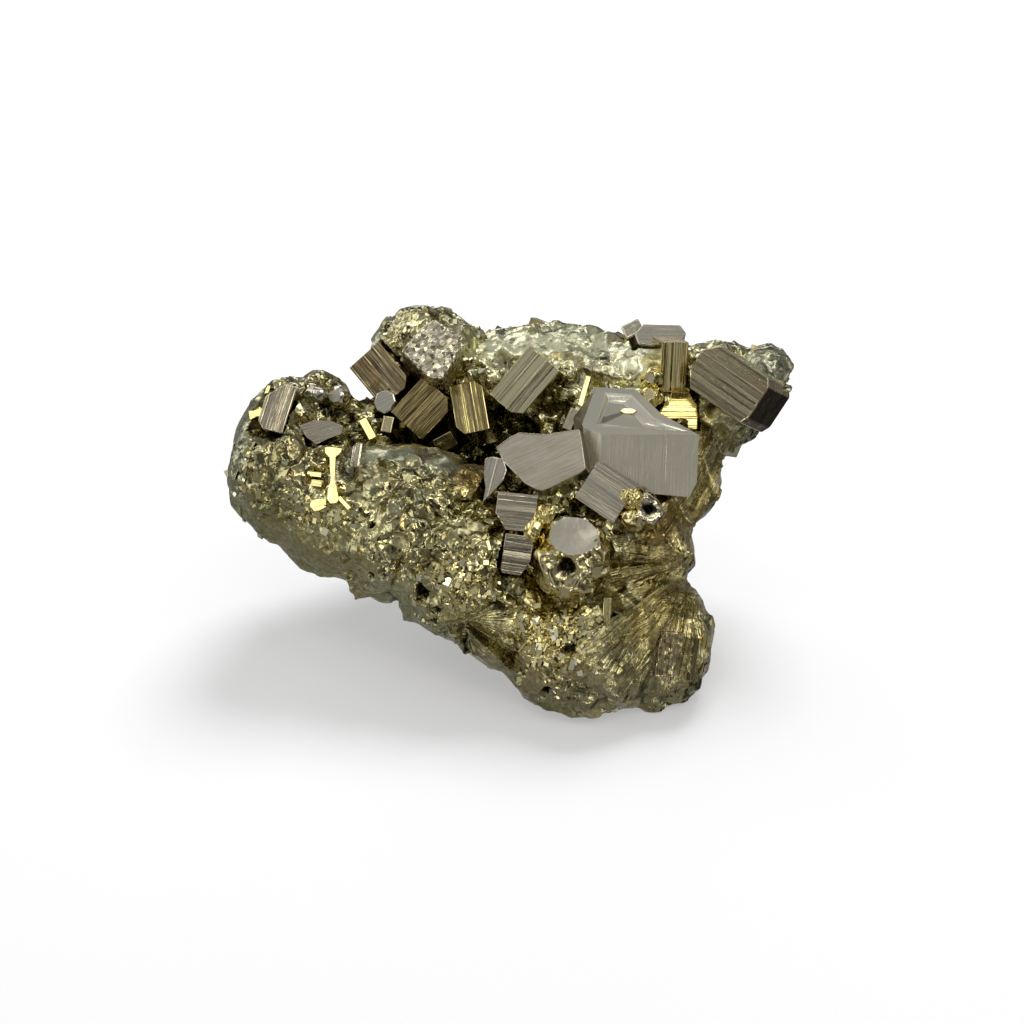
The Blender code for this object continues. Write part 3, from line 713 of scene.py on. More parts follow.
def roundedGrowths():
    whole = bmesh.new()
    for layer in roundedQualities:
        whole.verts.layers.float.new(layer)
    joined(whole, map(roundedGrowth, rounded.values()))
    piece = addPiece("rounded_growths", whole, roundedMaterial())
    piece.data.shade_smooth()
    piece.data.set_sharp_from_angle(angle=math.radians(50))
    finishPiece(piece)


roundedGrowths()


# Massive pyrite: the mass that everything grew from, sculpted out of the plain solid.
# zones: places on the leaning face where the skin differs, by how much of each quality they have;
# fans: leaves, flat and narrow, that spread from an apex: mm across one, its height, and the
# distance at which it is that wide; pits: small holes, across, up and radius.

massive = {
    "voxel": 0.25,            # mm between the points that are sculpted
    "soften": 12,             # rounds that soften the plain solid's steps
    "triangles": 190000,      # what is left of the skin
    "under": 0.3,             # mm that the skin lies below the plain solid, to leave room for facets
    "margin": 0.15,           # mm round a crystal that counts as the crystal
    "above": 0.5,             # mm over a crystal's face that still counts as the crystal
    "clearing": 0.7,          # mm round a crystal that stays free of small cubes
    "foot": (0.8, 0.6),       # share of a crystal's width and depth where the skin under it hides
    "reach": 0.8,             # share of a crystal's depth in which skin counts as under it
    "facets": [(3.8, 0.24, 9.0), (1.5, 0.4, 12.0)],    # mm across, slope, crispness of their edges
    "folds": [(2.6, 0.34), (1.1, 0.10)],              # mm between crests, and their height
    "quiet": 4.0,             # mm across the places where folds are shallow or deep
    "lively": (0.75, 1.6, 0.1, 1.3),    # share of the folds' height: usual, swing, least and most
    "outer": (0.42, 0.07),    # how far the skin faces out where it starts and ends to turn away
    "outerHeight": 0.35,      # share of the height that is kept there
    "paintedShade": (1.4, 0.35, 1.2),          # painted shade in the hollows: its growth with depth, where it starts, and in the deep zones
    "leafStep": 1.6,          # how much a fan's leaves differ in height, and how much they lean
    "leafLean": 3.6,
    "fanFilm": 0.12,          # greenish film on a fan
    "pitSlope": 1.3,          # depth of a pit over its radius
    "sparkles": (0.02, 0.3),  # small cubes everywhere, and more where it sparks
    "turned": (0.1, 0.5),     # how far back the skin faces where the druse starts and is full
    "back": (5.0, 9.0),       # and how many mm behind the leaning face
    "pocket": dict(at=(-4, 7, -3), reach=(9, 5, 6)),
    "zones": [
        dict(at=(-21, -4, 4), reach=(8, 5, 9), sand=1.0, calm=0.7),
        dict(at=(-12, -9, 4), reach=(4, 3, 8), sand=0.5, film=0.4),
        dict(at=(-15, -11, 0), reach=(7, 3, 8), sand=0.4, calm=0.6),
        dict(at=(-4, -15, 2), reach=(5, 3, 8), calm=0.6, film=0.3),
        dict(at=(4.2, -12, 11), reach=(3.6, 3.2, 6), gold=0.9, spark=1.0),
        dict(at=(-4.5, -7, 9), reach=(3.4, 2.6, 6), gold=0.6, spark=0.8),
        dict(at=(-19.5, -0.6, 6), reach=(2.4, 1.4, 5), gold=0.7, spark=0.9),
        dict(at=(-27, 5, 4), reach=(2.4, 4, 6), spark=0.6),
        dict(at=(-13.4, 18.6, -2), reach=(1.6, 1.6, 5), gold=0.7, spark=1.0),
        dict(at=(-6, 16.6, 0), reach=(2.6, 2.4, 5), gold=0.5, spark=1.0),
        dict(at=(-4, 3.6, 7), reach=(2.4, 1.6, 5), ochre=1.0, gold=0.5, calm=0.3),
        dict(at=(13.6, 15.4, -5), reach=(3.0, 4, 12), gold=0.6, pale=1.0, calm=0.6),
        dict(at=(9.5, 13.0, -3), reach=(3, 3.4, 8), gold=0.6, pale=0.6),
        # The pocket's deep zones, painted dark as shade
        dict(at=(-4.5, 7.8, -6), reach=(7, 3.4, 9), deep=1.2),
        dict(at=(1.0, 9.6, -6), reach=(3, 3.6, 8), deep=1.0),
        dict(at=(4, 17.8, -6), reach=(12, 2.4, 9), film=0.7, pale=0.6, calm=0.4),
        dict(at=(27, 14, -4), reach=(4, 5, 10), film=0.9, calm=0.6),
        dict(at=(15, -10, 8), reach=(4, 5, 8), gold=0.9),
        dict(at=(-29, 9, 0), reach=(1.6, 8, 9), film=1.0, calm=0.8),
        dict(at=(-15, 19, -5), reach=(1.6, 4, 6), film=1.0, calm=0.8),
        dict(at=(-15.5, 6.4, 4), reach=(2.6, 1.2, 5), film=1.0, calm=0.9),
        dict(at=(-11, 6.6, 4), reach=(2.6, 1.2, 5), film=1.0, calm=0.9),
        dict(at=(-6.5, 5.4, 5), reach=(2.4, 1.1, 5), film=0.9, calm=0.9),
        dict(at=(-1, -17, 8), reach=(3, 2, 8), calm=0.8, ochre=0.4, film=0.3),
        dict(at=(9.5, -18.5, 8), reach=(6, 1.6, 8), film=0.5, ochre=0.4),
        dict(at=(15.8, -14.4, 8), reach=(1.6, 2.6, 8), film=0.6, ochre=0.3, calm=0.3),
        dict(at=(15.5, -1.4, 6), reach=(2.6, 2.2, 6), ochre=0.9, gold=0.5, calm=0.5),
        dict(at=(20, 3, 0), reach=(3, 5, 8), gold=0.8, calm=0.2, deep=0.3),
    ],
    "fans": [
        dict(apex=(18.8, -5.0), at=(13.5, -12, 8), reach=(4.5, 5, 8), leaf=1.1, high=0.9, far=8),
        dict(apex=(-5.1, -10.8), at=(-2.6, -13.6, 8), reach=(2.8, 2.4, 8), leaf=1.3, high=0.8,
             far=3.5),
        dict(apex=(27.0, 16.0), at=(21.0, 2.0, 2), reach=(3.6, 5, 8), leaf=1.1, high=0.5, far=16),
    ],
    "pits": [(-9.4, -8.2, 0.9), (-14.4, -6.6, 0.4), (-12.0, -9.4, 0.5), (-7.6, -9.9, 0.5),
             (-14.4, -1.2, 0.4), (3.2, -18.0, 0.4), (0.6, -17.0, 0.4)],
}
massiveFinish = {
    "bright": "#D6CC9A",      # fresh brass
    "olive": "#86825A",       # dulled brass with a green cast
    "gold": "#DDC77A",        # where light goes to and fro between fresh faces
    "film": "#BCC0AC",        # greenish grey film on the outer ridges
    "ochre": "#8F6E2C",       # iron stain
    "pale": "#F4F2CC",        # pale yellow, laid brightest on the upper ridges
    "sand": "#AAA476",        # the fine-grained lobe
    "dark": "#221F13",        # dark mottle, and painted shade in the hollows
    "moss": "#6C6838",        # old olive tarnish in wide patches
    "cloud": 2.2,             # mm across a patch of colour
    "wideCloud": 6.0,         # mm across a wide patch
    "mottle": 0.45,           # mm across a mottle
    "bend": 1.6,              # mm that the small mirror faces are bent aside
    "crumple": 1.3,           # mm across a fine fold
    "crumpleDepth": 0.1,      # mm
    "flake": 1.0,             # mm across a small mirror face
    "flakeLean": 0.5,         # how far one leans where the folds are lively
    "grain": 0.34,            # mm across a grain
    "leafLines": 5.0,         # lines in each mm across a fan's leaves
    "leafDepth": 0.3,         # mm
    "gloss": (0.06, 0.2),     # roughness between the mottles and on them
    "mattRough": 0.2,         # what film, sand and bloom add to it
}
zoneQualities = ("sand", "gold", "film", "ochre", "pale", "calm", "spark", "deep")
skinQualities = ("lively", "hollow", "fanShare", "fanLine")


def massiveMaterial():
    # Massive pyrite: crumpled brass-coloured metal with stains, bright along every fold
    finish = massiveFinish
    material, tree, shader, share = newMaterial("massivePyrite", zoneQualities + skinQualities)
    place = addNode(tree, "ShaderNodeTexCoord").outputs["Object"]
    clouds = addNode(tree, "ShaderNodeTexNoise", {
        "Vector": place, "Scale": 1.0 / (finish["cloud"] * mm), "Detail": 4.0,
        "Roughness": 0.6, "Distortion": 1.2})
    cloud = addNode(tree, "ShaderNodeSeparateColor", {0: clouds.outputs["Color"]})
    mottle = addNode(tree, "ShaderNodeTexNoise", {
        "Vector": place, "Scale": 1.0 / (finish["mottle"] * mm), "Detail": 3.0})
    wide = addNode(tree, "ShaderNodeTexNoise", {
        "Vector": place, "Scale": 1.0 / (finish["wideCloud"] * mm), "Detail": 2.0,
        "Distortion": 0.8})
    patch = {name: addNode(tree, "ShaderNodeMapRange", {0: source, 1: low, 2: high})
             for name, source, low, high in (("olive", cloud.outputs[0], 0.42, 0.58),
                                             ("ochre", cloud.outputs[1], 0.54, 0.68),
                                             ("film", cloud.outputs[2], 0.5, 0.66),
                                             ("moss", wide, 0.46, 0.62),
                                             ("dark", mottle, 0.4, 0.62))}
    film = weighed(tree, (share["film"], 1.0), (patch["film"], 0.4))
    ochre = weighed(tree, (share["ochre"], 1.0), (patch["ochre"], 0.6))
    colour = linearColour(finish["bright"])
    # The last layer is painted shade: dark in the hollows, the pits and the pocket
    for name, there, strength in (("olive", patch["olive"], 0.8), ("moss", patch["moss"], 0.55),
                                  ("gold", share["gold"], 0.8), ("sand", share["sand"], 1.0),
                                  ("film", film, 0.8), ("ochre", ochre, 0.75),
                                  ("pale", share["pale"], 1.6), ("dark", patch["dark"], 0.3),
                                  ("dark", share["hollow"], 1.0)):
        colour = layered(tree, colour, there, linearColour(finish[name]), strength)
    matt = weighed(tree, (share["film"], 1.0), (share["sand"], 1.0), (share["pale"], 1.0))
    smoothest, roughest = finish["gloss"]
    gloss = addNode(tree, "ShaderNodeMapRange", {
        0: mottle, 1: 0.35, 2: 0.65, 3: smoothest, 4: roughest})
    rough = weighed(tree, (gloss, 1.0), (matt, finish["mattRough"]))
    grains = addNode(tree, "ShaderNodeTexVoronoi", {
        "Vector": place, "Scale": 1.0 / (finish["grain"] * mm)})
    glitter = weighed(tree, (0.06, 1.0), (share["spark"], 0.7), (share["sand"], 0.3))
    normal = tiltedNormal(tree, grains.outputs["Color"], glitter)
    bend = addNode(tree, "ShaderNodeVectorMath", {
        0: clouds.outputs["Color"], "Scale": finish["bend"] * mm}, operation="SCALE")
    bentPlace = addNode(tree, "ShaderNodeVectorMath", {0: place, 1: bend})
    flakes = addNode(tree, "ShaderNodeTexVoronoi", {
        "Vector": bentPlace, "Scale": 1.0 / (finish["flake"] * mm)})
    flakeLean = weighed(tree, (share["lively"], finish["flakeLean"]))
    normal = tiltedNormal(tree, flakes.outputs["Color"], flakeLean, normal)
    crumple = addNode(tree, "ShaderNodeTexNoise", {
        "Vector": place, "Scale": 1.0 / (finish["crumple"] * mm), "Detail": 2.0,
        "Roughness": 0.5, "Distortion": 1.6}, noise_type="RIDGED_MULTIFRACTAL")
    lines = addNode(tree, "ShaderNodeTexNoise", {
        "W": share["fanLine"], "Scale": finish["leafLines"], "Detail": 3.0},
        noise_dimensions="1D")
    for pattern, there, depth in ((crumple, share["lively"], finish["crumpleDepth"]),
                                  (lines, share["fanShare"], finish["leafDepth"])):
        height = addNode(tree, "ShaderNodeMath", {0: pattern, 1: there}, operation="MULTIPLY")
        normal = addNode(tree, "ShaderNodeBump", {
            "Height": height, "Distance": depth * mm, "Normal": normal})
    bareMetal(tree, shader, colour, rough.outputs[0], normal.outputs[0])
    return material


def crystalBoxes():
    # Where the plain crystals and the ones that replace them stand, with the frame of the latter
    # and the share of the size that it takes up from its middle, which is less in an outline
    for crystals in groups.values():
        for crystal in crystals.values():
            new = np.array(crystalMatrix(crystal))
            yield {**crystal, **crystal.get("solid", {})}, new, 0.5
            yield crystal, new, 0.4 if "outline" in crystal else 0.5


def insideBox(points, box, share, margin):
    local = moved(points, np.linalg.inv(np.array(crystalMatrix(box))))
    length, width, depth = box["size"]
    found = ((abs(local[:, 0]) < length * share + margin)
             & (abs(local[:, 1]) < width * share + margin)
             & (local[:, 2] < margin + massive["above"]) & (local[:, 2] > -depth * massive["reach"]))
    return found, local


def collapseCrystals(points, plain):
    # Where a crystal stands, the skin is drawn back into the crystal's foot
    width, depth = massive["foot"]
    for box, new, share in crystalBoxes():
        found, local = insideBox(points, box, share, massive["margin"])
        found |= insideBox(plain, box, share, massive["margin"])[0]
        half = np.array(box["size"][:2]) / 2
        local[:, :2] = np.clip(local[:, :2], -half, half) * width
        local[:, 2] = np.minimum(-box["size"][2] * depth, local[:, 2])
        points[found] = moved(local[found], new)


def sinkGrowths(points):
    for growth in rounded.values():
        matrix = np.array(growthMatrix(growth))
        local = moved(points, np.linalg.inv(matrix))
        found = np.linalg.norm(local / (np.array(growth["size"]) / 2), axis=1) < 1.0
        points[found] = moved(0.5 * local[found], matrix)


def facetHeight(place, size, slope, crisp):
    # Flat facets that lean at random and melt into one another along their edges
    cell = place / size
    distances, centres = noise.voronoi(cell)
    total = share = 0.0
    for distance, centre in zip(distances, centres):
        weight = math.exp(crisp * (distances[0] ** 2 - distance ** 2))
        lean = noise.cell_vector(centre * 37.0) - Vector((0.5, 0.5, 0.5))
        total += weight * (2.0 * slope * lean.dot(cell - centre) + 0.15 * noise.noise(centre * 5.1))
        share += weight
    return size * total / share


def ramp(values, start, end):
    return np.clip((values - start) / (end - start), 0.0, 1.0)


def zoneShare(local, zone):
    # 1 in the middle of a zone, and little at its reach
    away = (local - np.array(zone["at"])) / np.array(zone["reach"])
    return np.exp(-(away ** 2).sum(axis=1) / 1.2)


def fanLeaves(local, fan):
    # Leaves side by side round the apex: which one a point is on, and how high it stands there
    ax, ay = fan["apex"]
    across = np.arctan2(local[:, 1] - ay, local[:, 0] - ax) * fan["far"]
    share = np.clip(zoneShare(local, fan) * 2.2, 0.0, 1.0)
    heights = np.zeros(len(local))
    for i in np.nonzero(share > 0.05)[0]:
        leaf = across[i] / fan["leaf"]
        number = math.floor(leaf)      # two unlike draws for each leaf
        step = massive["leafStep"] * noise.noise(Vector((number * 1.37, 3.1, fan["far"])))
        lean = massive["leafLean"] * noise.noise(Vector((number * 2.11, 7.7, fan["far"])))
        heights[i] = fan["high"] * (step + lean * (leaf - number - 0.5))
    return across, share, heights


def sculptSkin(mesh):
    points, normals = meshPoints(mesh), meshPoints(mesh, "normal")
    local = moved(points, faceFrame.inverted())
    outward = normals @ np.array(faceFrame.to_3x3().normalized())[:, 2]
    share = {name: np.zeros(len(points)) for name in zoneQualities}
    for zone in massive["zones"]:
        there = zoneShare(local, zone)
        for name in share:
            share[name] = np.maximum(share[name], there * zone.get(name, 0.0))
    heights, folds, lively, fanLine, fanShare = (np.zeros(len(points)) for _ in range(5))
    for i, point in enumerate(points):
        place = Vector(point) / mm
        lively[i] = noise.noise(place / massive["quiet"])
        heights[i] = sum(facetHeight(place, *facet) for facet in massive["facets"])
        folds[i] = sum(foldHeight(place, *fold) for fold in massive["folds"])
    usual, swing, least, most = massive["lively"]
    lively = np.clip(usual + swing * lively, least, most)
    heights += folds * lively
    heights *= 1.0 - share["calm"]
    for fan in massive["fans"]:
        across, there, leaves = fanLeaves(local, fan)
        heights = heights * (1.0 - there) + leaves * there
        fanLine = np.where(there > fanShare, across, fanLine)
        fanShare = np.maximum(fanShare, there)
    outer = ramp(abs(outward), *massive["outer"])
    heights *= 1.0 - (1.0 - massive["outerHeight"]) * outer
    share["film"] = np.maximum(share["film"], massive["fanFilm"] * fanShare)
    # Painted shade: the lower a place lies and the deeper in the pocket, the darker it is painted
    growth, start, deeper = massive["paintedShade"]
    hollow = np.clip(-heights * growth - start + deeper * share["deep"], 0.0, 1.0)
    # Each pit sinks in and is painted dark as shade
    for across, up, radius in massive["pits"]:
        away = np.hypot(local[:, 0] - across, local[:, 1] - up) / radius
        dip = np.clip(1.0 - away ** 2, 0.0, 1.0) * (local[:, 2] > 0.0)
        heights -= dip * radius * massive["pitSlope"]
        hollow = np.maximum(hollow, np.sqrt(dip))
    plain = points.copy()
    points += normals * ((heights - massive["under"] * (1.0 - 0.7 * share["calm"])) * mm)[:, None]
    clear = np.ones(len(points))
    for box, _, within in crystalBoxes():
        clear[insideBox(points, box, within, massive["clearing"])[0]] = 0.0
    collapseCrystals(points, plain)
    sinkGrowths(points)
    setPoints(mesh, points)
    # Small cubes and flakes stand clear of the crystals, the calm places and the pocket
    free = (1.0 - fanShare) * (1.0 - share["calm"])
    pocket = np.clip(2 * zoneShare(local, massive["pocket"]), 0.0, 1.0)
    bare = clear * (1.0 - outer) * free * (1.0 - pocket)
    behind = ramp(-outward, *massive["turned"]) * ramp(-local[:, 2], *massive["back"])
    few, more = massive["sparkles"]
    layers = {**share, "lively": lively * free, "fanLine": fanLine, "fanShare": fanShare,
              "hollow": hollow, "sparkle": bare * (few + more * share["spark"]),
              "glitter": bare * share["spark"], "behind": bare * behind}
    for name, values in layers.items():
        addFloat(mesh, name, values)


def massiveBody():
    bm = bmesh.new()
    bm.from_mesh(cadNode.data)
    bmesh.ops.remove_doubles(bm, verts=bm.verts, dist=0.002 * mm)
    body = addPiece("massive_pyrite", bm, massiveMaterial())
    material = body.data.materials[0]
    remesh = body.modifiers.new("even skin", "REMESH")
    remesh.mode = "VOXEL"
    remesh.voxel_size = massive["voxel"] * mm
    soften = body.modifiers.new("soft steps", "SMOOTH")
    soften.factor = 0.5
    soften.iterations = massive["soften"]
    mesh = evaluatedMesh(body)
    sculptSkin(mesh)
    print("skin sculpted", len(mesh.vertices), "points")
    thin = body.modifiers.new("fewer faces", "DECIMATE")
    thin.ratio = massive["triangles"] / (2.0 * len(mesh.polygons))
    mesh = evaluatedMesh(body)
    setPoints(mesh, meshPoints(mesh))
    mesh.materials.clear()
    mesh.materials.append(material)
    mesh.shade_smooth()
    mesh.set_sharp_from_angle(angle=math.radians(40))
    finishPiece(body)
    return body


massiveSkin = massiveBody()


def onSkin(plates):
    # The height of the skin under each small plate, along the face's own outward direction
    bm = bmesh.new()
    bm.from_mesh(massiveSkin.data)
    tree = BVHTree.FromBMesh(bm)
    bm.free()
    inward = -(faceFrame.to_3x3() @ Vector((0.0, 0.0, 1.0))).normalized()
    placed = {}
    farOut = 30.0      # mm over the face, clear of everything
    drawnIn = 0.8      # so that a corner that hangs over an edge doesn't count
    for name, plate in plates.items():
        right, up = plate["at"]
        highest = -farOut
        for x, y in plate.get("outline", []) + [(0.0, 0.0)]:
            start = faceFrame @ Vector((right + drawnIn * x, up + drawnIn * y, farOut))
            _, _, _, distance = tree.ray_cast(start, inward)
            highest = max(highest, farOut - (distance or 2 * farOut * mm) / mm)
        placed[name] = {**plate, "at": (right, up, highest + plate["lift"])}
    return placed


crystalGroup("small_plates", onSkin(smallPlates), striatedPyrite)


# Druse: small cubes half sunk in the massive pyrite.
# where: the quality of the skin that they follow; edge: smallest and largest, mm; sunk: mm;
# cell: mm across a patch in which they are turned alike, and jitter: radians from that;
# flake: how thin they are over their width, where they lie flat on the skin.

druseLayers = {
    "druse_sparks": dict(where="sparkle", perSquareMm=2.6, edge=(0.3, 0.8), sunk=0.12, seed=3,
                         cell=1.6, jitter=0.6),
    "druse_flakes": dict(where="glitter", perSquareMm=1.6, edge=(0.2, 0.7), sunk=-0.04, seed=6,
                         cell=1.2, jitter=0.45, flake=0.25),
    "druse_back": dict(where="behind", perSquareMm=0.6, edge=(0.6, 1.9), sunk=0.3, seed=4,
                       cell=2.6, jitter=1.2),
}
druseFinish = {"pale": "#E2DFCB", "golden": "#D3C992", "dull": "#A19B78", "gloss": (0.3, 0.12)}


def druseMaterial():
    # Small pyrite cubes: fresh mirror faces, so each is either dark or a spark
    finish = druseFinish
    material, tree, shader, share = newMaterial("druse", ["tone"])
    first = addNode(tree, "ShaderNodeMapRange", {0: share["tone"], 1: 0.0, 2: 0.5})
    second = addNode(tree, "ShaderNodeMapRange", {0: share["tone"], 1: 0.5, 2: 1.0})
    colour = layered(tree, linearColour(finish["dull"]), first, linearColour(finish["golden"]))
    colour = layered(tree, colour, second, linearColour(finish["pale"]))
    roughest, smoothest = finish["gloss"]
    rough = addNode(tree, "ShaderNodeMapRange", {
        0: share["tone"], 1: 0.0, 2: 1.0, 3: roughest, 4: smoothest})
    bareMetal(tree, shader, colour, rough.outputs[0])
    return material


druse = druseMaterial()


def druseTree(name, layer):
    tree = bpy.data.node_groups.new(name, "GeometryNodeTree")
    tree.interface.new_socket("Geometry", in_out="OUTPUT", socket_type="NodeSocketGeometry")
    seed, flake = layer["seed"], layer.get("flake")
    host = addNode(tree, "GeometryNodeObjectInfo", {"Object": massiveSkin})
    where = addNode(tree, "GeometryNodeInputNamedAttribute", {"Name": layer["where"]},
                    data_type="FLOAT")
    density = addNode(tree, "ShaderNodeMath", {
        0: where, 1: layer["perSquareMm"] / mm ** 2}, operation="MULTIPLY")
    spread = addNode(tree, "GeometryNodeDistributePointsOnFaces", {
        "Mesh": host.outputs["Geometry"], "Density": density, "Seed": seed})
    below = addNode(tree, "ShaderNodeVectorMath", {
        0: spread.outputs["Normal"], "Scale": -layer["sunk"] * mm}, operation="SCALE")
    sunk = addNode(tree, "GeometryNodeSetPosition", {"Geometry": spread, "Offset": below})
    cells = addNode(tree, "ShaderNodeTexVoronoi", {
        "Vector": addNode(tree, "GeometryNodeInputPosition"),
        "Scale": 1.0 / (layer["cell"] * mm)})
    common = addNode(tree, "ShaderNodeVectorMath", {
        0: cells.outputs["Color"], "Scale": 0.0 if flake else math.tau}, operation="SCALE")
    jitter = addNode(tree, "FunctionNodeRandomValue", {
        "Min": [-layer["jitter"]] * 3, "Max": [layer["jitter"]] * 3, "Seed": seed + 10},
        data_type="FLOAT_VECTOR")
    turn = addNode(tree, "ShaderNodeVectorMath", {0: common, 1: jitter})
    if flake:
        turn = addNode(tree, "FunctionNodeRotateRotation", {
            0: spread.outputs["Rotation"], 1: turn}, rotation_space="LOCAL")
    small, large = (edge * mm for edge in layer["edge"])
    thin = flake or 1.0
    edges = addNode(tree, "FunctionNodeRandomValue", {
        "Min": [small, small, small * thin], "Max": [large, large * (2.0 - thin), large * thin],
        "Seed": seed + 20}, data_type="FLOAT_VECTOR")
    placed = addNode(tree, "GeometryNodeInstanceOnPoints", {
        "Points": sunk, "Instance": addNode(tree, "GeometryNodeMeshCube"),
        "Rotation": turn, "Scale": edges})
    tone = addNode(tree, "FunctionNodeRandomValue", {"Seed": seed + 30}, data_type="FLOAT")
    toned = addNode(tree, "GeometryNodeStoreNamedAttribute", {
        "Geometry": placed, "Name": "tone", "Value": tone.outputs[1]},
        data_type="FLOAT", domain="INSTANCE")
    addNode(tree, "NodeGroupOutput", {0: addNode(tree, "GeometryNodeRealizeInstances", {0: toned})})
    return tree


def druseLayer(name, layer):
    piece = bpy.data.objects.new(name, bpy.data.meshes.new(name + "Start"))
    bpy.context.scene.collection.objects.link(piece)
    modifier = piece.modifiers.new("scatter", "NODES")
    modifier.node_group = druseTree(name, layer)
    mesh = evaluatedMesh(piece)
    mesh.materials.clear()
    mesh.materials.append(druse)
    setPoints(mesh, meshPoints(mesh))
    finishPiece(piece)


for layerName, layer in druseLayers.items():
    druseLayer(layerName, layer)


# Studio: a pale floor, soft light and the camera.

studio = {
    "backdrop": "#FAFAFA",
    "low": (0.40, "#E8E8E6"),      # brightness and colour straight down, level and straight up
    "level": (0.36, "#E2E1DC"),
    "high": (0.52, "#EEF0F2"),
    # azimuth from the camera's side, to the right; elevation; degrees across; soft edge; power
    "lamps": [(5, 53, 16, 5, 3.6, "#FFF8E4"), (-98, 18, 34, 16, 1.3, "#FFFFFF"),
              (66, 40, 14, 5, 3.4, "#FFFCF2"), (-46, 66, 11, 4, 3.4, "#FFFFFF"),
              (130, 62, 16, 8, 1.0, "#FFFFFF"), (-150, 30, 20, 8, 2.0, "#FFFFFF"),
              (-26, 6, 7, 3, 3.4, "#FFF8E4"), (-20, -18, 8, 4, 2.6, "#FFFDF4"),
              (12, -18, 9, 4, 2.8, "#FFFDF4"), (-44, 4, 12, 6, 0.5, "#FFFDF4"),
              (18, 8, 14, 8, 0.3, "#FFFDF4"), (40, 58, 8, 4, 3.0, "#FFFFFF"),
              (100, -5, 14, 8, 1.0, "#FFFDF4"), (178, 12, 12, 5, 2.6, "#FFFFFF")],
    # dark cards, with how much they take away
    "cards": [(0, 25, 22, 10, 0.94), (-62, 26, 16, 10, 0.85), (42, 10, 22, 12, 0.8),
              (110, 25, 26, 14, 0.7), (-120, 2, 26, 14, 0.7), (170, 34, 26, 14, 0.7),
              (60, 70, 12, 8, 0.7), (-10, -34, 12, 8, 0.6), (120, -45, 24, 12, 0.9)],
    "detail": 1024,                # points across the map that the light is sampled from
}


def direction(azimuth, elevation):
    a, e = math.radians(azimuth), math.radians(elevation)
    return (math.sin(a) * math.cos(e), -math.cos(a) * math.cos(e), math.sin(e))


def shone(power, code):
    return [channel * power for channel in linearColour(code)]


def spot(tree, ray, azimuth, elevation, across, soft):
    towards = addNode(tree, "ShaderNodeVectorMath", {
        0: ray, 1: direction(azimuth, elevation)}, operation="DOT_PRODUCT")
    inner, outer = math.cos(math.radians(across / 2)), math.cos(math.radians(across / 2 + soft))
    return addNode(tree, "ShaderNodeMapRange", {
        0: towards.outputs["Value"], 1: outer, 2: inner}, interpolation_type="SMOOTHSTEP")


def studioLight():
    world = bpy.data.worlds.new("studio")
    bpy.context.scene.world = world
    world.use_nodes = True
    tree = world.node_tree
    tree.nodes.clear()
    black = (0.0, 0.0, 0.0, 1.0)
    ray = addNode(tree, "ShaderNodeTexCoord").outputs["Generated"]
    up = addNode(tree, "ShaderNodeSeparateXYZ", {0: ray}).outputs["Z"]
    below = addNode(tree, "ShaderNodeMapRange", {0: up, 1: -0.5, 2: 0.0})
    above = addNode(tree, "ShaderNodeMapRange", {0: up, 1: 0.05, 2: 0.75})
    light = layered(tree, shone(*studio["low"]), below, shone(*studio["level"]))
    light = layered(tree, light, above, shone(*studio["high"]))
    for azimuth, elevation, across, soft, share in studio["cards"]:
        card = spot(tree, ray, azimuth, elevation, across, soft)
        light = layered(tree, light, card, black, share)
    for azimuth, elevation, across, soft, power, code in studio["lamps"]:
        lamp = spot(tree, ray, azimuth, elevation, across, soft)
        lit = layered(tree, black, lamp, shone(power, code))
        light = addNode(tree, "ShaderNodeVectorMath", {0: light, 1: lit})
    seen = addNode(tree, "ShaderNodeLightPath").outputs["Is Camera Ray"]
    final = layered(tree, light, seen, linearColour(studio["backdrop"]))
    background = addNode(tree, "ShaderNodeBackground", {"Color": final})
    addNode(tree, "ShaderNodeOutputWorld", {"Surface": background})
    world.cycles.sampling_method = "MANUAL"
    world.cycles.sample_map_resolution = studio["detail"]


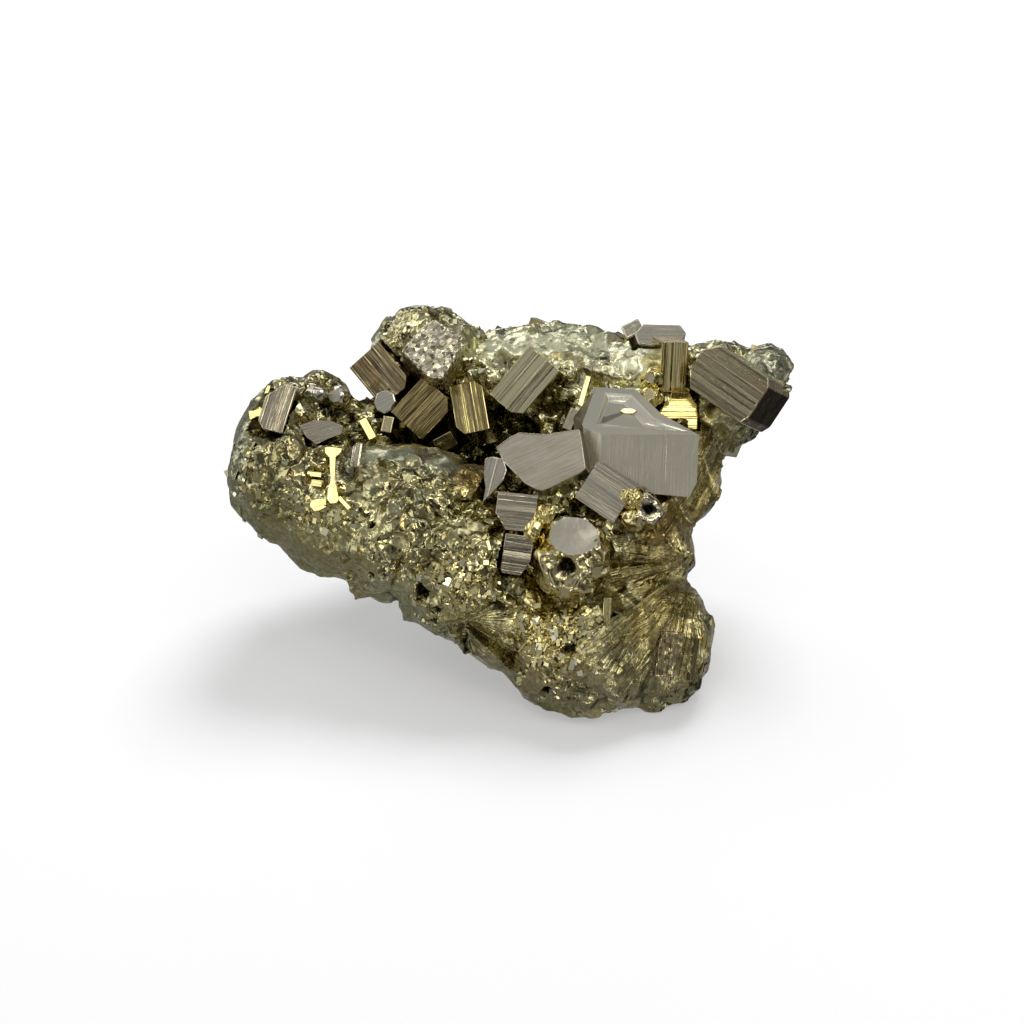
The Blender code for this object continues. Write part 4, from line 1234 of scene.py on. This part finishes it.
# size: metres across; glow: the share that glows, to stay pale; under: mm below the specimen
floorFinish = {"size": 6.0, "paper": "#A9A9AB", "rough": 0.9, "glow": 0.37, "under": 0.02}


def studioFloor():
    bm = bmesh.new()
    bmesh.ops.create_grid(bm, x_segments=1, y_segments=1, size=floorFinish["size"] / 2)
    bmesh.ops.translate(bm, verts=bm.verts, vec=(0.0, 0.0, -floorFinish["under"] * mm))
    # Matt paper, which gives the eye a soft shadow and no reflection
    material, _, shader, _ = newMaterial("matteWhitePaper")
    shader.inputs["Base Color"].default_value = linearColour(floorFinish["paper"])
    shader.inputs["Roughness"].default_value = floorFinish["rough"]
    shader.inputs["Emission Color"].default_value = (1.0, 1.0, 1.0, 1.0)
    shader.inputs["Emission Strength"].default_value = floorFinish["glow"]
    floor = addPiece("floor", bm, material)
    floor.visible_glossy = False


# Degrees, metres and watts
overhead = {"azimuth": 160.0, "elevation": 58.0, "distance": 0.6, "across": 0.3, "watts": 4.0}


def overheadLight():
    # A soft box behind and above, for the shadow on the floor
    light = bpy.data.lights.new("overheadSoftbox", "AREA")
    light.shape = "DISK"
    light.size = overhead["across"]
    light.energy = overhead["watts"]
    lamp = bpy.data.objects.new("overheadSoftbox", light)
    bpy.context.scene.collection.objects.link(lamp)
    back = Vector(direction(overhead["azimuth"], overhead["elevation"]))
    lamp.location = back * overhead["distance"]
    lamp.rotation_euler = back.to_track_quat("Z", "Y").to_euler()
    lamp.visible_glossy = False


shot = {"lens": 85.0, "sensor": 36.0, "distance": 253.0, "elevation": 28.0}   # mm and degrees


def addCamera():
    camera = bpy.data.objects.new("camera", bpy.data.cameras.new("camera"))
    bpy.context.scene.collection.objects.link(camera)
    camera.data.lens = shot["lens"]
    camera.data.sensor_width = shot["sensor"]
    camera.data.clip_start = 0.01
    back = Vector(direction(0.0, shot["elevation"]))
    camera.location = (Vector(face["place"]) + back * shot["distance"]) * mm
    camera.rotation_euler = back.to_track_quat("Z", "Y").to_euler()
    bpy.context.scene.camera = camera


studioLight()
studioFloor()
overheadLight()
addCamera()
bpy.context.scene.view_settings.view_transform = "Standard"
print("studio ready")
